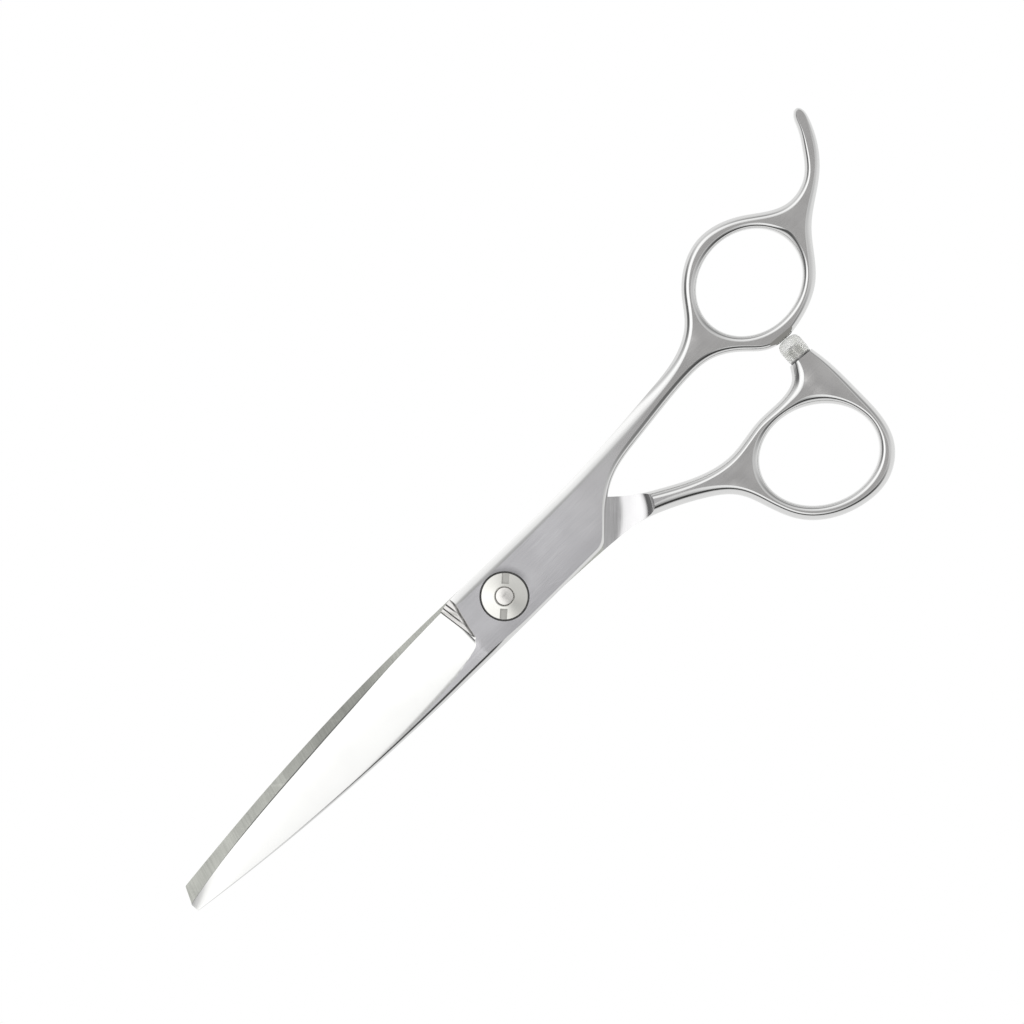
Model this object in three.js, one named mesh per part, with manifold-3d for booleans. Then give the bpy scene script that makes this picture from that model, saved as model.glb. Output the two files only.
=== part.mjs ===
// Hair cutting shears, 6.5 inch, with an offset finger rest and a screw-in stopper.
//
// Units are millimetres, +Z up. The shears lie flat on z = 0 and closed. The origin
// is where the pivot axis meets the flat back of the pivot stud. +X runs from the
// pivot to the finger rings, the blade tips are at -X, the finger ring is on the +Y
// side and the thumb ring on the -Y side. The finger half is the upper one.
import * as THREE from 'three';
import { NURBSCurve } from 'three/addons/curves/NURBSCurve.js';
import { mergeVertices } from 'three/addons/utils/BufferGeometryUtils.js';
import Module from 'manifold-3d';

const { degToRad, clamp } = THREE.MathUtils;

// ---------------------------------------------------------------- driving sizes
const MATE_Z = 3.0;                          // mating plane of the two halves
const MATE_GAP = 0.05;                       // each inner face stands off it by this
const BODY_TOP = 2 * MATE_Z;                 // upper face of the pivot body
const HANDLE_BOTTOM = 0.7;                   // shanks and rings run from here ...
const HANDLE_TOP = 2 * MATE_Z - HANDLE_BOTTOM;   // ... to here
const HANDLE_H = HANDLE_TOP - HANDLE_BOTTOM;
const BODY_END_X = 25;                       // the body's full thickness ends here ...
const HANDLE_START_X = 44;                   // ... and the handle's starts here
const EDGE_ROUND_W = 0.62;                   // rounding of the outline, in plan ...
const EDGE_ROUND_H = 1.9;                    // ... and in height
const CURVE_TOLERANCE = 0.035;               // of the outline's polyline
const SEGMENTS = 48;                         // around most round parts

const FINGER_HOLE = { x: 71.92, y: 8.86, a: 10.45, b: 9.02, turn: 1.6 };
const THUMB_HOLE = { x: 58.78, y: -22.34, a: 11.16, b: 9.12, turn: -28.05 };

// Relief on the inner side of each shank, measured from the pivot at 45 degrees to X
const SCOOP_START = 18.0;
const SCOOP_LENGTH = 9.4;
const SCOOP_RISE = HANDLE_H / 2 + 0.08;
const SCOOP_STEPS = 9;

// Outer grind of the blades
const TIP_X = -80.2;            // end of the blades
const NOTCH_X = -9.4;           // where the grind runs out
const RAMP_FOOT_X = -9.53;      // foot of the run-out ramp at y = 0 ...
const RAMP_FOOT_LEAN = -0.1445; // ... and its change in x per y
const RAMP_SLOPE = 0.93;        // rise per length of that ramp
const EDGE_LAND = 0.16;         // thickness left along the cutting edge
const LAND_AT_TIP = 1.25;       // blade thickness along the spine at the tip
const LAND_TAPER_POWER = 0.86;
const GRIND_BOW = 0.28;         // quadratic share of the fall across the grind
const CLOSED_SKEW_DEG = 1.8;    // how far the halves stay apart on the stopper

// Pivot, from the stud's head up to the nut
const PIVOT_PLAY = 0.05;
const STUD_HEAD_R = 3.8;
const STUD_HEAD_H = 1.1;
const STUD_FLATS = 3.15;        // from the axis to each flat of the head
const STUD_R = 2.1;
const STUD_SHOULDER_Z = 4.15;
const THREAD_R = 1.65;
const THREAD_TOP_Z = 6.3;
const HEAD_RECESS_PLAY = 0.1;   // around the stud's head
const BUSH_R = 3.0;
const BUSH_BORE_R = 2.18;
const COUNTERBORE_R = 4.46;
const COUNTERBORE_Z = 4.2;
const BUSH = { inner: BUSH_BORE_R, outer: BUSH_R, z0: MATE_Z + 0.1, z1: COUNTERBORE_Z - 0.02 };
const NYLON = { inner: 2.2, outer: 4.15, z0: 4.23, z1: 4.58 };
const CLICK = { inner: 1.8, outer: 3.9, z0: 4.63, z1: 4.93 };
const NUT = { inner: 1.76, outer: 4.22, z0: 4.98, z1: 6.4 };
const NUT_SEGMENTS = 64;
const NUT_SLOT = { width: 1.35, length: 1.95, depth: 0.75, turn: 42 };

// Stopper: its seat on the thumb half's boss, and its parts
const STOP_X = 68.92;
const STOP_Y = -7.5;
const STOP_TURN_DEG = -5.3;
const STOP_BORE_R = 1.0;
const STOP_BORE_L = 4.8;
const STOP_STUD_SEGMENTS = 24;
const BUMPER_R = 2.3;
const BUMPER_L = 4.4;
const BUMPER_GAP = 0.12;
const BUMPER_SEGMENTS = 32;

// Edges of the two halves as cubic curves in plan: inner knots, and control points
// [x, y]. Each outline runs counterclockwise from above, with straight lines between
// its curves. "facing" is the side of a shank towards the other half.
const FINGER_CURVES = {
  spine: {
    knots: [0.51839],
    points: [[-79.9, -1.1], [-63.022, -3.615], [-30.244, -6.329], [2.673, -6.332], [18.5, -6.36]],
  },
  facing: {
    knots: [0.13235, 0.24188, 0.39524, 0.51065, 0.66304, 0.77757, 0.89294],
    points: [
      [19.75, -5.87], [21.565, -4.528], [24.4, -1.381], [30.161, 2.292], [36.802, 2.942],
      [43.94, 3.804], [50.417, 4.506], [57.194, 4.513], [62.129, 1.245], [64.574, -1.795],
      [66.3, -2.5],
    ],
  },
  outer: {
    knots: [
      0.06023, 0.12123, 0.18247, 0.24357, 0.2584, 0.26224, 0.26572, 0.26956, 0.28857, 0.31228,
      0.34876, 0.37274, 0.43327, 0.49379, 0.55411, 0.59052, 0.61348, 0.67227, 0.79775,
    ],
    points: [
      [71.6, -2.98], [74.712, -2.527], [81.642, -0.433], [86.388, 8.898], [95.772, 13.337],
      [99.974, 19.775], [101.259, 23.989], [100.745, 25.21], [100.211, 25.439],
      [98.778, 24.844], [98.096, 22.21], [95.568, 18.702], [93.007, 14.959], [85.66, 13.149],
      [79.867, 19.14], [70.097, 22.54], [62.011, 17.43], [58.849, 11.874], [53.066, 8.383],
      [41.808, 7.483], [20.852, 5.789], [2.988, 6.535], [-8, 6.6],
    ],
  },
  edge: {
    knots: [0.52208],
    points: [[-10.6, 6.06], [-22.756, 5.943], [-45.967, 4.708], [-69.199, 2.855], [-80.1, 0.62]],
  },
};
const THUMB_CURVES = {
  edge: {
    knots: [0.50904],
    points: [[-80.15, 0.3], [-68.371, -0.056], [-45.476, -3.762], [-22.343, -4.817], [-11, -5.34]],
  },
  outer: {
    knots: [
      0.25833, 0.30746, 0.3483, 0.41769, 0.46961, 0.52075, 0.57271, 0.6928, 0.74326, 0.79498,
      0.89823,
    ],
    points: [
      [-8.4, -5.9], [1.5, -6.135], [13.326, -6.313], [26.62, -7.582], [32.436, -9.868],
      [37.774, -12.63], [43.612, -16.558], [45.302, -22.31], [48.195, -30.538],
      [56.59, -35.014], [65.073, -34.898], [72.128, -29.8], [71.977, -19.148],
      [72.223, -11.699], [71.42, -7.73],
    ],
  },
  facing: {
    knots: [0.03563, 0.08597, 0.23391, 0.38323, 0.49456, 0.64464, 0.75664],
    points: [
      [66.42, -7.27], [65.952, -7.616], [65.293, -9.301], [61.389, -10.809],
      [55.134, -9.459], [48.066, -11.732], [40.773, -9.994], [35.059, -6.862],
      [27.213, -2.402], [23.267, 2.634], [19.85, 5.25],
    ],
  },
  spine: {
    knots: [0.15112, 0.3053, 0.5519, 0.7988],
    points: [
      [18.7, 5.78], [13.802, 5.976], [3.901, 6.266], [-13.996, 6.919], [-35.013, 6.996],
      [-57.536, 5.807], [-72.003, 4.387], [-78.5, 3.74],
    ],
  },
};

// Inner limit of the outer grind, measured on the finger half: [x, y].
const GRIND_LINE = [
  [NOTCH_X, -1.7], [-9.6, -2.3], [-10.2, -2.8], [-11, -3.06], [-12, -3.17], [-14, -3.24],
  [-20, -3.3], [-26, -3.46], [-32, -3.74], [-38, -3.94], [-44, -3.96], [-50, -3.78],
  [-56, -3.44], [-62, -3.0], [-70, -2.2], [TIP_X, -1.0],
];

// Grid of the grind cutter: x along the blade, and shares of the way from the grind
// line (0) to the cutting edge (1).
const GRIND_STATIONS = [
  -6.6, -7.4, -8.2, -9.0, NOTCH_X, -9.8, -10.2, -10.8, -11.6, -13, -15, -20, -26, -32, -38, -44,
  -50, -56, -62, -68, -74, TIP_X, -84,
];
const GRIND_SHARES = [-1, 0, 0.2, 0.4, 0.6, 0.8, 1.0, 1.3];

// ------------------------------------------------------------------- solid tools
const wasm = await Module();
wasm.setup();

function toSolid(geometry) {
  const plain = geometry.clone();
  for (const name of Object.keys(plain.attributes)) {
    if (name !== 'position') plain.deleteAttribute(name);
  }
  const merged = mergeVertices(plain, 1e-4);
  const triangles = [];
  for (let i = 0; i < merged.index.count; i += 3) {
    const [a, b, c] = [0, 1, 2].map((k) => merged.index.getX(i + k));
    if (a !== b && b !== c && c !== a) triangles.push(a, b, c);
  }
  return new wasm.Manifold(new wasm.Mesh({
    numProp: 3,
    vertProperties: Float32Array.from(merged.attributes.position.array),
    triVerts: Uint32Array.from(triangles),
  }));
}

function toGeometry(solid) {
  const mesh = solid.getMesh();
  const geometry = new THREE.BufferGeometry();
  const positions = Float32Array.from(mesh.vertProperties);
  geometry.setAttribute('position', new THREE.BufferAttribute(positions, 3));
  geometry.setIndex(new THREE.BufferAttribute(Uint32Array.from(mesh.triVerts), 1));
  geometry.computeVertexNormals();
  return geometry;
}

function box(width, length, height, x, z) {
  return new THREE.BoxGeometry(width, length, height).translate(x, 0, z);
}

function roundBar(radius, z0, z1, segments = SEGMENTS) {
  return new THREE.CylinderGeometry(radius, radius, z1 - z0, segments)
    .rotateX(Math.PI / 2)
    .translate(0, 0, (z0 + z1) / 2);
}

// A turned part about Z from a profile of [radius, z], which either starts and ends
// on the axis or is closed into a ring.
function turned(profile, segments = SEGMENTS) {
  const onAxis = profile[0][0] === 0 && profile.at(-1)[0] === 0;
  const path = onAxis ? profile : [...profile, profile[0]];
  const points = path.map(([r, z]) => new THREE.Vector2(r, z));
  return new THREE.LatheGeometry(points, segments).rotateX(Math.PI / 2);
}

function washer({ inner, outer, z0, z1 }) {
  return turned([[inner, z0], [outer, z0], [outer, z1], [inner, z1]]);
}

// Puts a part made along +Z onto the stopper's axis, which leaves the boss towards +Y.
function onStopper(geometry) {
  return geometry
    .rotateX(-Math.PI / 2)
    .rotateZ(degToRad(STOP_TURN_DEG))
    .translate(STOP_X, STOP_Y, MATE_Z);
}

// ------------------------------------------------------------------------ curves
function sample({ knots, points }, count) {
  const controls = points.map(([x, y]) => new THREE.Vector4(x, y, 0, 1));
  const curve = new NURBSCurve(3, [0, 0, 0, 0, ...knots, 1, 1, 1, 1], controls);
  return Array.from({ length: count + 1 }, (_, i) => {
    const { x, y } = curve.getPoint(i / count);
    return [x, y];
  });
}

// Keeps the points a polyline needs to stay within the tolerance of the curve.
function thin(points) {
  const [ax, ay] = points[0];
  const [bx, by] = points.at(-1);
  const length = Math.hypot(bx - ax, by - ay) || 1e-9;
  let worst = 0;
  let at = 0;
  for (let i = 1; i < points.length - 1; i++) {
    const [x, y] = points[i];
    const distance = Math.abs((x - ax) * (by - ay) - (y - ay) * (bx - ax)) / length;
    if (distance > worst) {
      worst = distance;
      at = i;
    }
  }
  if (worst < CURVE_TOLERANCE) return [points[0], points.at(-1)];
  return [...thin(points.slice(0, at + 1)).slice(0, -1), ...thin(points.slice(at))];
}

function ringHole({ x, y, a, b, turn }) {
  const ellipse = new THREE.EllipseCurve(x, y, a, b, 0, 2 * Math.PI, true, degToRad(turn));
  return new THREE.Path().setFromPoints(ellipse.getPoints(40).slice(0, -1));
}

// Looks up y in a table of [x, y] with falling x. Past the last row y stays the same.
function interpolate(table, x) {
  for (let i = 1; i < table.length; i++) {
    const [x0, y0] = table[i - 1];
    const [x1, y1] = table[i];
    if (x >= x1) return y0 + (y1 - y0) * ((x - x0) / (x1 - x0));
  }
  return table.at(-1)[1];
}

// -------------------------------------------------------------------- the halves
// A blank: the outline with its ring hole, rounded all round, thick at the body and
// thinner at the handle, with one straight ramp between. It is ramped in three
// lengths, so that every face stays flat.
function blank(curves, hole, bodyBottom, bodyTop) {
  const outline = Object.values(curves).flatMap((curve) => thin(sample(curve, 400)));
  const shape = new THREE.Shape(outline.map(([x, y]) => new THREE.Vector2(x, y)));
  shape.holes.push(ringHole(hole));
  const plate = new THREE.ExtrudeGeometry(shape, {
    depth: HANDLE_H - 2 * EDGE_ROUND_H,
    steps: 1,
    bevelEnabled: true,
    bevelSegments: 3,
    bevelThickness: EDGE_ROUND_H,
    bevelSize: EDGE_ROUND_W,
    bevelOffset: -EDGE_ROUND_W,
  }).translate(0, 0, EDGE_ROUND_H);
  const [beyond, body] = toSolid(plate).splitByPlane([1, 0, 0], BODY_END_X);
  const [handle, ramp] = beyond.splitByPlane([1, 0, 0], HANDLE_START_X);
  const stretch = (piece) => {
    const geometry = toGeometry(piece);
    const p = geometry.attributes.position;
    for (let i = 0; i < p.count; i++) {
      const share = clamp((p.getX(i) - BODY_END_X) / (HANDLE_START_X - BODY_END_X), 0, 1);
      const bottom = bodyBottom + (HANDLE_BOTTOM - bodyBottom) * share;
      const top = bodyTop + (HANDLE_TOP - bodyTop) * share;
      p.setZ(i, bottom + (top - bottom) * (p.getZ(i) / HANDLE_H));
    }
    return toSolid(geometry);
  };
  return stretch(body).add(stretch(ramp)).add(stretch(handle));
}

// Height of the blade's unground outer surface above the mating plane.
function landHeight(x) {
  const full = BODY_TOP - MATE_Z;
  const along = Math.max(0, NOTCH_X - x) / (NOTCH_X - TIP_X);
  return full + (LAND_AT_TIP - full) * Math.pow(along, LAND_TAPER_POWER);
}

// The same for the ground surface, at a share of the way to the cutting edge.
function grindHeight(x, share) {
  if (share <= 0) return landHeight(x);
  const edge = MATE_GAP + EDGE_LAND;
  const left = 1 - (1 - GRIND_BOW) * share - GRIND_BOW * share * share;
  return edge + (landHeight(x) - edge) * Math.max(0, left);
}

// The cutter for a blade's outer grind, as a box with a shaped underside. It is made
// for the finger half; side = -1 gives the mirrored one of the thumb half.
function grindCutter(edgeCurve, side) {
  const edge = sample(edgeCurve, 60)
    .map(([x, y]) => [x, side * y])
    .sort((p, q) => q[0] - p[0]);
  const skew = side < 0 ? Math.tan(degToRad(CLOSED_SKEW_DEG)) : 0;
  const lift = 0.001;            // keeps the run-out clear of the uncut surface
  const columns = GRIND_STATIONS.length - 1;
  const rows = GRIND_SHARES.length - 1;

  const underside = (x, y, share, rim) => {
    const height = MATE_Z + grindHeight(x, share);
    if (share < 0) return x > NOTCH_X ? height + lift + 0.3 * (x - NOTCH_X) : height;
    const foot = RAMP_FOOT_X + RAMP_FOOT_LEAN * y;
    if (x <= foot) return height;
    const footLine = interpolate(GRIND_LINE, foot);
    const footShare = Math.max(0, (y - footLine) / (rim - footLine));
    const ramp = MATE_Z + grindHeight(foot, footShare) + RAMP_SLOPE * (x - foot) + lift;
    return Math.max(height, ramp);
  };

  const cutter = new THREE.BoxGeometry(1, 1, 1, columns, rows, 1);
  const p = cutter.attributes.position;
  for (let i = 0; i < p.count; i++) {
    const x = GRIND_STATIONS[Math.round((0.5 - p.getX(i)) * columns)];
    const share = GRIND_SHARES[Math.round((p.getY(i) + 0.5) * rows)];
    const line = interpolate(GRIND_LINE, Math.max(x, TIP_X)) + skew * x;
    const rim = interpolate(edge, Math.max(x, TIP_X));
    const y = share < 0 ? line - 8 : line + share * (rim - line);
    const z = p.getZ(i) < 0 ? underside(x, y, share, rim) : 12;
    p.setXYZ(i, x, side * y, side < 0 ? 2 * MATE_Z - z : z);
  }
  return toSolid(cutter);
}

// The cutter for the inner face: flat up to the shank, then a concave quarter ellipse
// that leaves the face across a line at 45 degrees to the shears' length.
function innerCutter(side) {
  const face = side * MATE_GAP;
  const start = -110;
  const depth = 220;
  const profile = [[start, face], [SCOOP_START, face]];
  for (let i = 1; i <= SCOOP_STEPS; i++) {
    const angle = (i / SCOOP_STEPS) * Math.PI / 2;
    profile.push([
      SCOOP_START + SCOOP_LENGTH * Math.sin(angle),
      face - side * SCOOP_RISE * (1 - Math.cos(angle)),
    ]);
  }
  profile.push([SCOOP_START + SCOOP_LENGTH, -side * 6], [start, -side * 6]);
  const shape = new THREE.Shape(profile.map(([s, z]) => new THREE.Vector2(s, z)));
  const along = new THREE.Vector3(1, side, 0).normalize();
  const up = new THREE.Vector3(0, 0, 1);
  const across = new THREE.Vector3().crossVectors(along, up);
  return toSolid(new THREE.ExtrudeGeometry(shape, { depth, bevelEnabled: false })
    .translate(0, 0, -depth / 2)
    .applyMatrix4(new THREE.Matrix4().makeBasis(along, up, across))
    .translate(0, 0, MATE_Z));
}

// A disc with two flats, parallel to X.
function keyedHead(radius, flats, z0, z1) {
  const slab = box(2 * radius + 2, 2 * flats, z1 - z0, 0, (z0 + z1) / 2);
  return toSolid(roundBar(radius, z0, z1)).intersect(toSolid(slab));
}

function fingerHalf() {
  return toGeometry(blank(FINGER_CURVES, FINGER_HOLE, HANDLE_BOTTOM, BODY_TOP)
    .subtract(innerCutter(1))
    .subtract(grindCutter(FINGER_CURVES.edge, 1))
    .subtract(toSolid(roundBar(BUSH_R + PIVOT_PLAY, 0, 8)))
    .subtract(toSolid(roundBar(COUNTERBORE_R, COUNTERBORE_Z, 8))));
}

function thumbHalf() {
  const headRecess = keyedHead(STUD_HEAD_R + HEAD_RECESS_PLAY, STUD_FLATS + HEAD_RECESS_PLAY,
    -1, STUD_HEAD_H + PIVOT_PLAY);
  const stopperBore = onStopper(roundBar(STOP_BORE_R, -STOP_BORE_L, 1, STOP_STUD_SEGMENTS));
  return toGeometry(blank(THUMB_CURVES, THUMB_HOLE, 0, HANDLE_TOP)
    .subtract(innerCutter(-1))
    .subtract(grindCutter(THUMB_CURVES.edge, -1))
    .subtract(toSolid(roundBar(STUD_R + PIVOT_PLAY, -1, 8)))
    .subtract(headRecess)
    .subtract(toSolid(stopperBore)));
}

// --------------------------------------------------------------------- the pivot
function pivotStud() {
  const shankStart = STUD_HEAD_H - 0.4;      // sunk into the head
  const shank = turned([
    [0, shankStart], [STUD_R, shankStart], [STUD_R, STUD_SHOULDER_Z],
    [THREAD_R, STUD_SHOULDER_Z], [THREAD_R, THREAD_TOP_Z - 0.25],
    [THREAD_R - 0.2, THREAD_TOP_Z - 0.05], [0.8, THREAD_TOP_Z + 0.08],
    [0, THREAD_TOP_Z + 0.12],
  ]);
  return toGeometry(keyedHead(STUD_HEAD_R, STUD_FLATS, 0, STUD_HEAD_H).add(toSolid(shank)));
}

// A ring with rounded upper edges and two slots in its top, open to the rim.
function tensionNut() {
  const { inner, outer, z0, z1 } = NUT;
  const { width, length, depth, turn } = NUT_SLOT;
  const overrun = 1;             // of the slot cutters beyond the rim and the top
  let nut = toSolid(turned([
    [inner, z0], [outer, z0], [outer, z1 - 0.28], [outer - 0.1, z1 - 0.09],
    [outer - 0.3, z1], [inner + 0.14, z1], [inner, z1 - 0.14],
  ], NUT_SEGMENTS));
  for (const side of [1, -1]) {
    const x = side * (outer - length + (length + overrun) / 2);
    const z = z1 - depth + (depth + overrun) / 2;
    const slot = box(length + overrun, width, depth + overrun, x, z).rotateZ(degToRad(turn));
    nut = nut.subtract(toSolid(slot));
  }
  return toGeometry(nut);
}

// ------------------------------------------------------------------- the stopper
function bumper() {
  const r = BUMPER_R;
  const l = BUMPER_L;
  return onStopper(turned([
    // socket over the stud's head
    [0, 2.85], [0.8, 2.75], [1.3, 2.35], [1.3, BUMPER_GAP],
    // seat, side and rounded end
    [r - 0.15, BUMPER_GAP], [r, BUMPER_GAP + 0.15], [r, l - 1.5], [r - 0.14, l - 0.95],
    [r - 0.5, l - 0.42], [r - 1.0, l - 0.1], [r - 1.35, l], [0, l],
  ], BUMPER_SEGMENTS));
}

function bumperStud() {
  const end = -STOP_BORE_L + 0.4;            // short of the bore's bottom
  return onStopper(turned([
    [0, end], [0.7, end], [0.95, end + 0.25], [0.95, 0.35], [1.2, 0.55],
    [1.2, 2.2], [0.75, 2.62], [0, 2.7],
  ], STOP_STUD_SEGMENTS));
}

// -------------------------------------------------------------------- the shears
const LOOKS = {
  steel: { color: 0xc9c9cc, roughness: 0.3, metalness: 1 },
  stud: { color: 0xbfbdb8, roughness: 0.28, metalness: 1 },
  nut: { color: 0xcfcdc4, roughness: 0.3, metalness: 1 },
  click: { color: 0xa9a9a6, roughness: 0.35, metalness: 1 },
  nylon: { color: 0xe9e7df, roughness: 0.5, metalness: 0 },
  bushing: { color: 0xe4e1d6, roughness: 0.5, metalness: 0 },
  stopperStud: { color: 0xb5b3aa, roughness: 0.35, metalness: 1 },
  bumper: { color: 0xcfd1bf, roughness: 0.35, metalness: 0, transparent: true, opacity: 0.8 },
};

const shears = new THREE.Group();
shears.name = 'hair_cutting_shears';

function add(name, geometry, look) {
  const mesh = new THREE.Mesh(geometry, new THREE.MeshStandardMaterial(look));
  mesh.name = name;
  shears.add(mesh);
}

add('finger_half', fingerHalf(), LOOKS.steel);
add('thumb_half', thumbHalf(), LOOKS.steel);
add('pivot_stud', pivotStud(), LOOKS.stud);
add('tension_nut', tensionNut(), LOOKS.nut);
add('click_washer', washer(CLICK), LOOKS.click);
add('nylon_washer', washer(NYLON), LOOKS.nylon);
add('pivot_bushing', washer(BUSH), LOOKS.bushing);
add('bumper_stud', bumperStud(), LOOKS.stopperStud);
add('bumper', bumper(), LOOKS.bumper);

export default shears;
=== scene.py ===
import math

import bpy
import bmesh
import numpy as np
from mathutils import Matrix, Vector
from mathutils.geometry import delaunay_2d_cdt


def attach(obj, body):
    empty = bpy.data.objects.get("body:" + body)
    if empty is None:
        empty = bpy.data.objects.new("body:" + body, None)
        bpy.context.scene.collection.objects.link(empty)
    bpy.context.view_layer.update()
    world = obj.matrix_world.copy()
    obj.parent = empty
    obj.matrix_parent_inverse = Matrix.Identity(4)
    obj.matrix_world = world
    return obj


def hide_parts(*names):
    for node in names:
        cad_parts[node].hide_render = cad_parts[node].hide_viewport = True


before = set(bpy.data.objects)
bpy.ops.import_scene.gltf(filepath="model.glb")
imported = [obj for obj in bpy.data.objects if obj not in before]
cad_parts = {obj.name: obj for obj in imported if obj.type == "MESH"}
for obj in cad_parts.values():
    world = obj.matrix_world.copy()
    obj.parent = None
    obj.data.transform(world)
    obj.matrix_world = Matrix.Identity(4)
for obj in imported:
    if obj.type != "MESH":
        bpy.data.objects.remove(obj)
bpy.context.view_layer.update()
scene = bpy.context.scene

# Everything below is worked out in millimetres and written to the meshes in metres.
MM = 0.001
MATE = 3.0              # height of the plane where the two halves meet
BODY_TOP, HANDLE_TOP, HANDLE_BOTTOM = 6.0, 5.3, 0.7
NOTCH_X, TIP_X = -9.4, -80.2
FOOT_A, FOOT_B = -9.533, -0.1445       # foot of the blade's run-out ramp: x = a + b y
EDGE_Z = MATE + 0.05 + 0.12
SKEW = math.tan(math.radians(1.8))     # the halves stay this far apart when closed
STEP = 0.3                             # spacing of points along an outline
CROWN = 0.05                           # curvature of the handle faces, per millimetre

# Zones of a forged half, each with its own finish.
SATIN, RIM, WALL, GRIND, RAMP, INNER, SCOOP, BORE, FACET, HONED, EASED = range(11)

CURVES = {
    "F_SPINE": ([0, 0, 0, 0, 0.51839, 1, 1, 1, 1],
        [[-79.9, -1.1], [-63.022, -3.615], [-30.244, -6.329], [2.673, -6.332], [18.5, -6.36]]),
    "F_INNER": ([0, 0, 0, 0, 0.13235, 0.24188, 0.39524, 0.51065, 0.66304, 0.77757, 0.89294, 1, 1, 1, 1],
        [[19.75, -5.87], [21.565, -4.528], [24.4, -1.381], [30.161, 2.292], [36.802, 2.942], [43.94, 3.804], [50.417, 4.506], [57.194, 4.513], [62.129, 1.245], [64.574, -1.795], [66.3, -2.5]]),
    "F_OUTER": ([0, 0, 0, 0, 0.06023, 0.12123, 0.18247, 0.24357, 0.2584, 0.26224, 0.26572, 0.26956, 0.28857, 0.31228, 0.34876, 0.37274, 0.43327, 0.49379, 0.55411, 0.59052, 0.61348, 0.67227, 0.79775, 1, 1, 1, 1],
        [[71.6, -2.98], [74.712, -2.527], [81.642, -0.433], [86.388, 8.898], [95.772, 13.337], [99.974, 19.775], [101.259, 23.989], [100.745, 25.21], [100.211, 25.439], [98.778, 24.844], [98.096, 22.21], [95.568, 18.702], [93.007, 14.959], [85.66, 13.149], [79.867, 19.14], [70.097, 22.54], [62.011, 17.43], [58.849, 11.874], [53.066, 8.383], [41.808, 7.483], [20.852, 5.789], [2.988, 6.535], [-8, 6.6]]),
    "F_EDGE": ([0, 0, 0, 0, 0.52208, 1, 1, 1, 1],
        [[-10.6, 6.06], [-22.756, 5.943], [-45.967, 4.708], [-69.199, 2.855], [-80.1, 0.62]]),
    "T_EDGE": ([0, 0, 0, 0, 0.50904, 1, 1, 1, 1],
        [[-80.15, 0.3], [-68.371, -0.056], [-45.476, -3.762], [-22.343, -4.817], [-11, -5.34]]),
    "T_LOWER": ([0, 0, 0, 0, 0.25833, 0.30746, 0.3483, 0.41769, 0.46961, 0.52075, 0.57271, 0.6928, 0.74326, 0.79498, 0.89823, 1, 1, 1, 1],
        [[-8.4, -5.9], [1.5, -6.135], [13.326, -6.313], [26.62, -7.582], [32.436, -9.868], [37.774, -12.63], [43.612, -16.558], [45.302, -22.31], [48.195, -30.538], [56.59, -35.014], [65.073, -34.898], [72.128, -29.8], [71.977, -19.148], [72.223, -11.699], [71.42, -7.73]]),
    "T_UPPER": ([0, 0, 0, 0, 0.03563, 0.08597, 0.23391, 0.38323, 0.49456, 0.64464, 0.75664, 1, 1, 1, 1],
        [[66.42, -7.27], [65.952, -7.616], [65.293, -9.301], [61.389, -10.809], [55.134, -9.459], [48.066, -11.732], [40.773, -9.994], [35.059, -6.862], [27.213, -2.402], [23.267, 2.634], [19.85, 5.25]]),
    "T_SPINE": ([0, 0, 0, 0, 0.15112, 0.3053, 0.5519, 0.7988, 1, 1, 1, 1],
        [[18.7, 5.78], [13.802, 5.976], [3.901, 6.266], [-13.996, 6.919], [-35.013, 6.996], [-57.536, 5.807], [-72.003, 4.387], [-78.5, 3.74]]),
}

GRIND_LINE = [(-9.4, -1.7), (-9.6, -2.3), (-10.2, -2.8), (-11, -3.06), (-12, -3.2), (-14, -3.4), (-20, -3.8),
              (-26, -4.15), (-32, -4.35), (-38, -4.5), (-44, -4.45), (-50, -4.2), (-56, -3.85), (-62, -3.4),
              (-70, -2.5), (-80.2, -1.1)]


# ------------------------------------------------------------------ plane curves
def spline(name, count=900):
    knots, points = CURVES[name]
    u, p = np.array(knots, float), np.array(points, float)
    t = np.clip(np.linspace(0, 1, count + 1), 0, 1 - 1e-12)[:, None]
    n = ((u[:-1] <= t) & (t < u[1:])).astype(float)
    for d in (1, 2, 3):
        a, b = u[d:-1] - u[:-d - 1], u[d + 1:] - u[1:-d]
        left = np.where(a > 0, (t - u[:-d - 1]) / np.where(a > 0, a, 1), 0)
        right = np.where(b > 0, (u[d + 1:] - t) / np.where(b > 0, b, 1), 0)
        n = left * n[:, :-1] + right * n[:, 1:]
    return n @ p


def mirrored(points):
    return points[::-1] * np.array([1.0, -1.0])


def around(values, sigma):
    """Gaussian smoothing of values that run round a closed loop. sigma is in points."""
    reach = int(math.ceil(3 * sigma))
    out, total = np.zeros_like(values, dtype=float), 0.0
    for k in range(-reach, reach + 1):
        g = math.exp(-0.5 * (k / sigma) ** 2)
        out += g * np.roll(values, k, axis=0)
        total += g
    return out / total


def arc_length(loop):
    d = np.linalg.norm(np.diff(np.vstack([loop, loop[:1]]), axis=0), axis=1)
    return np.concatenate([[0], np.cumsum(d)])


def resample(loop, step):
    s = arc_length(loop)
    n = int(round(s[-1] / step))
    t = np.arange(n) * s[-1] / n
    q = np.vstack([loop, loop[:1]])
    return np.stack([np.interp(t, s, q[:, k]) for k in (0, 1)], 1)


def outline(parts):
    """A closed outline from its edges, evenly spaced, with its small corners eased. The blade tips stay crisp."""
    loop = resample(np.vstack(parts), STEP)
    eased = around(loop, 1.3)
    keep = np.clip((loop[:, 0] + 79.0) / 2.0, 0, 1)[:, None]
    return loop + (eased - loop) * keep


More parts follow.
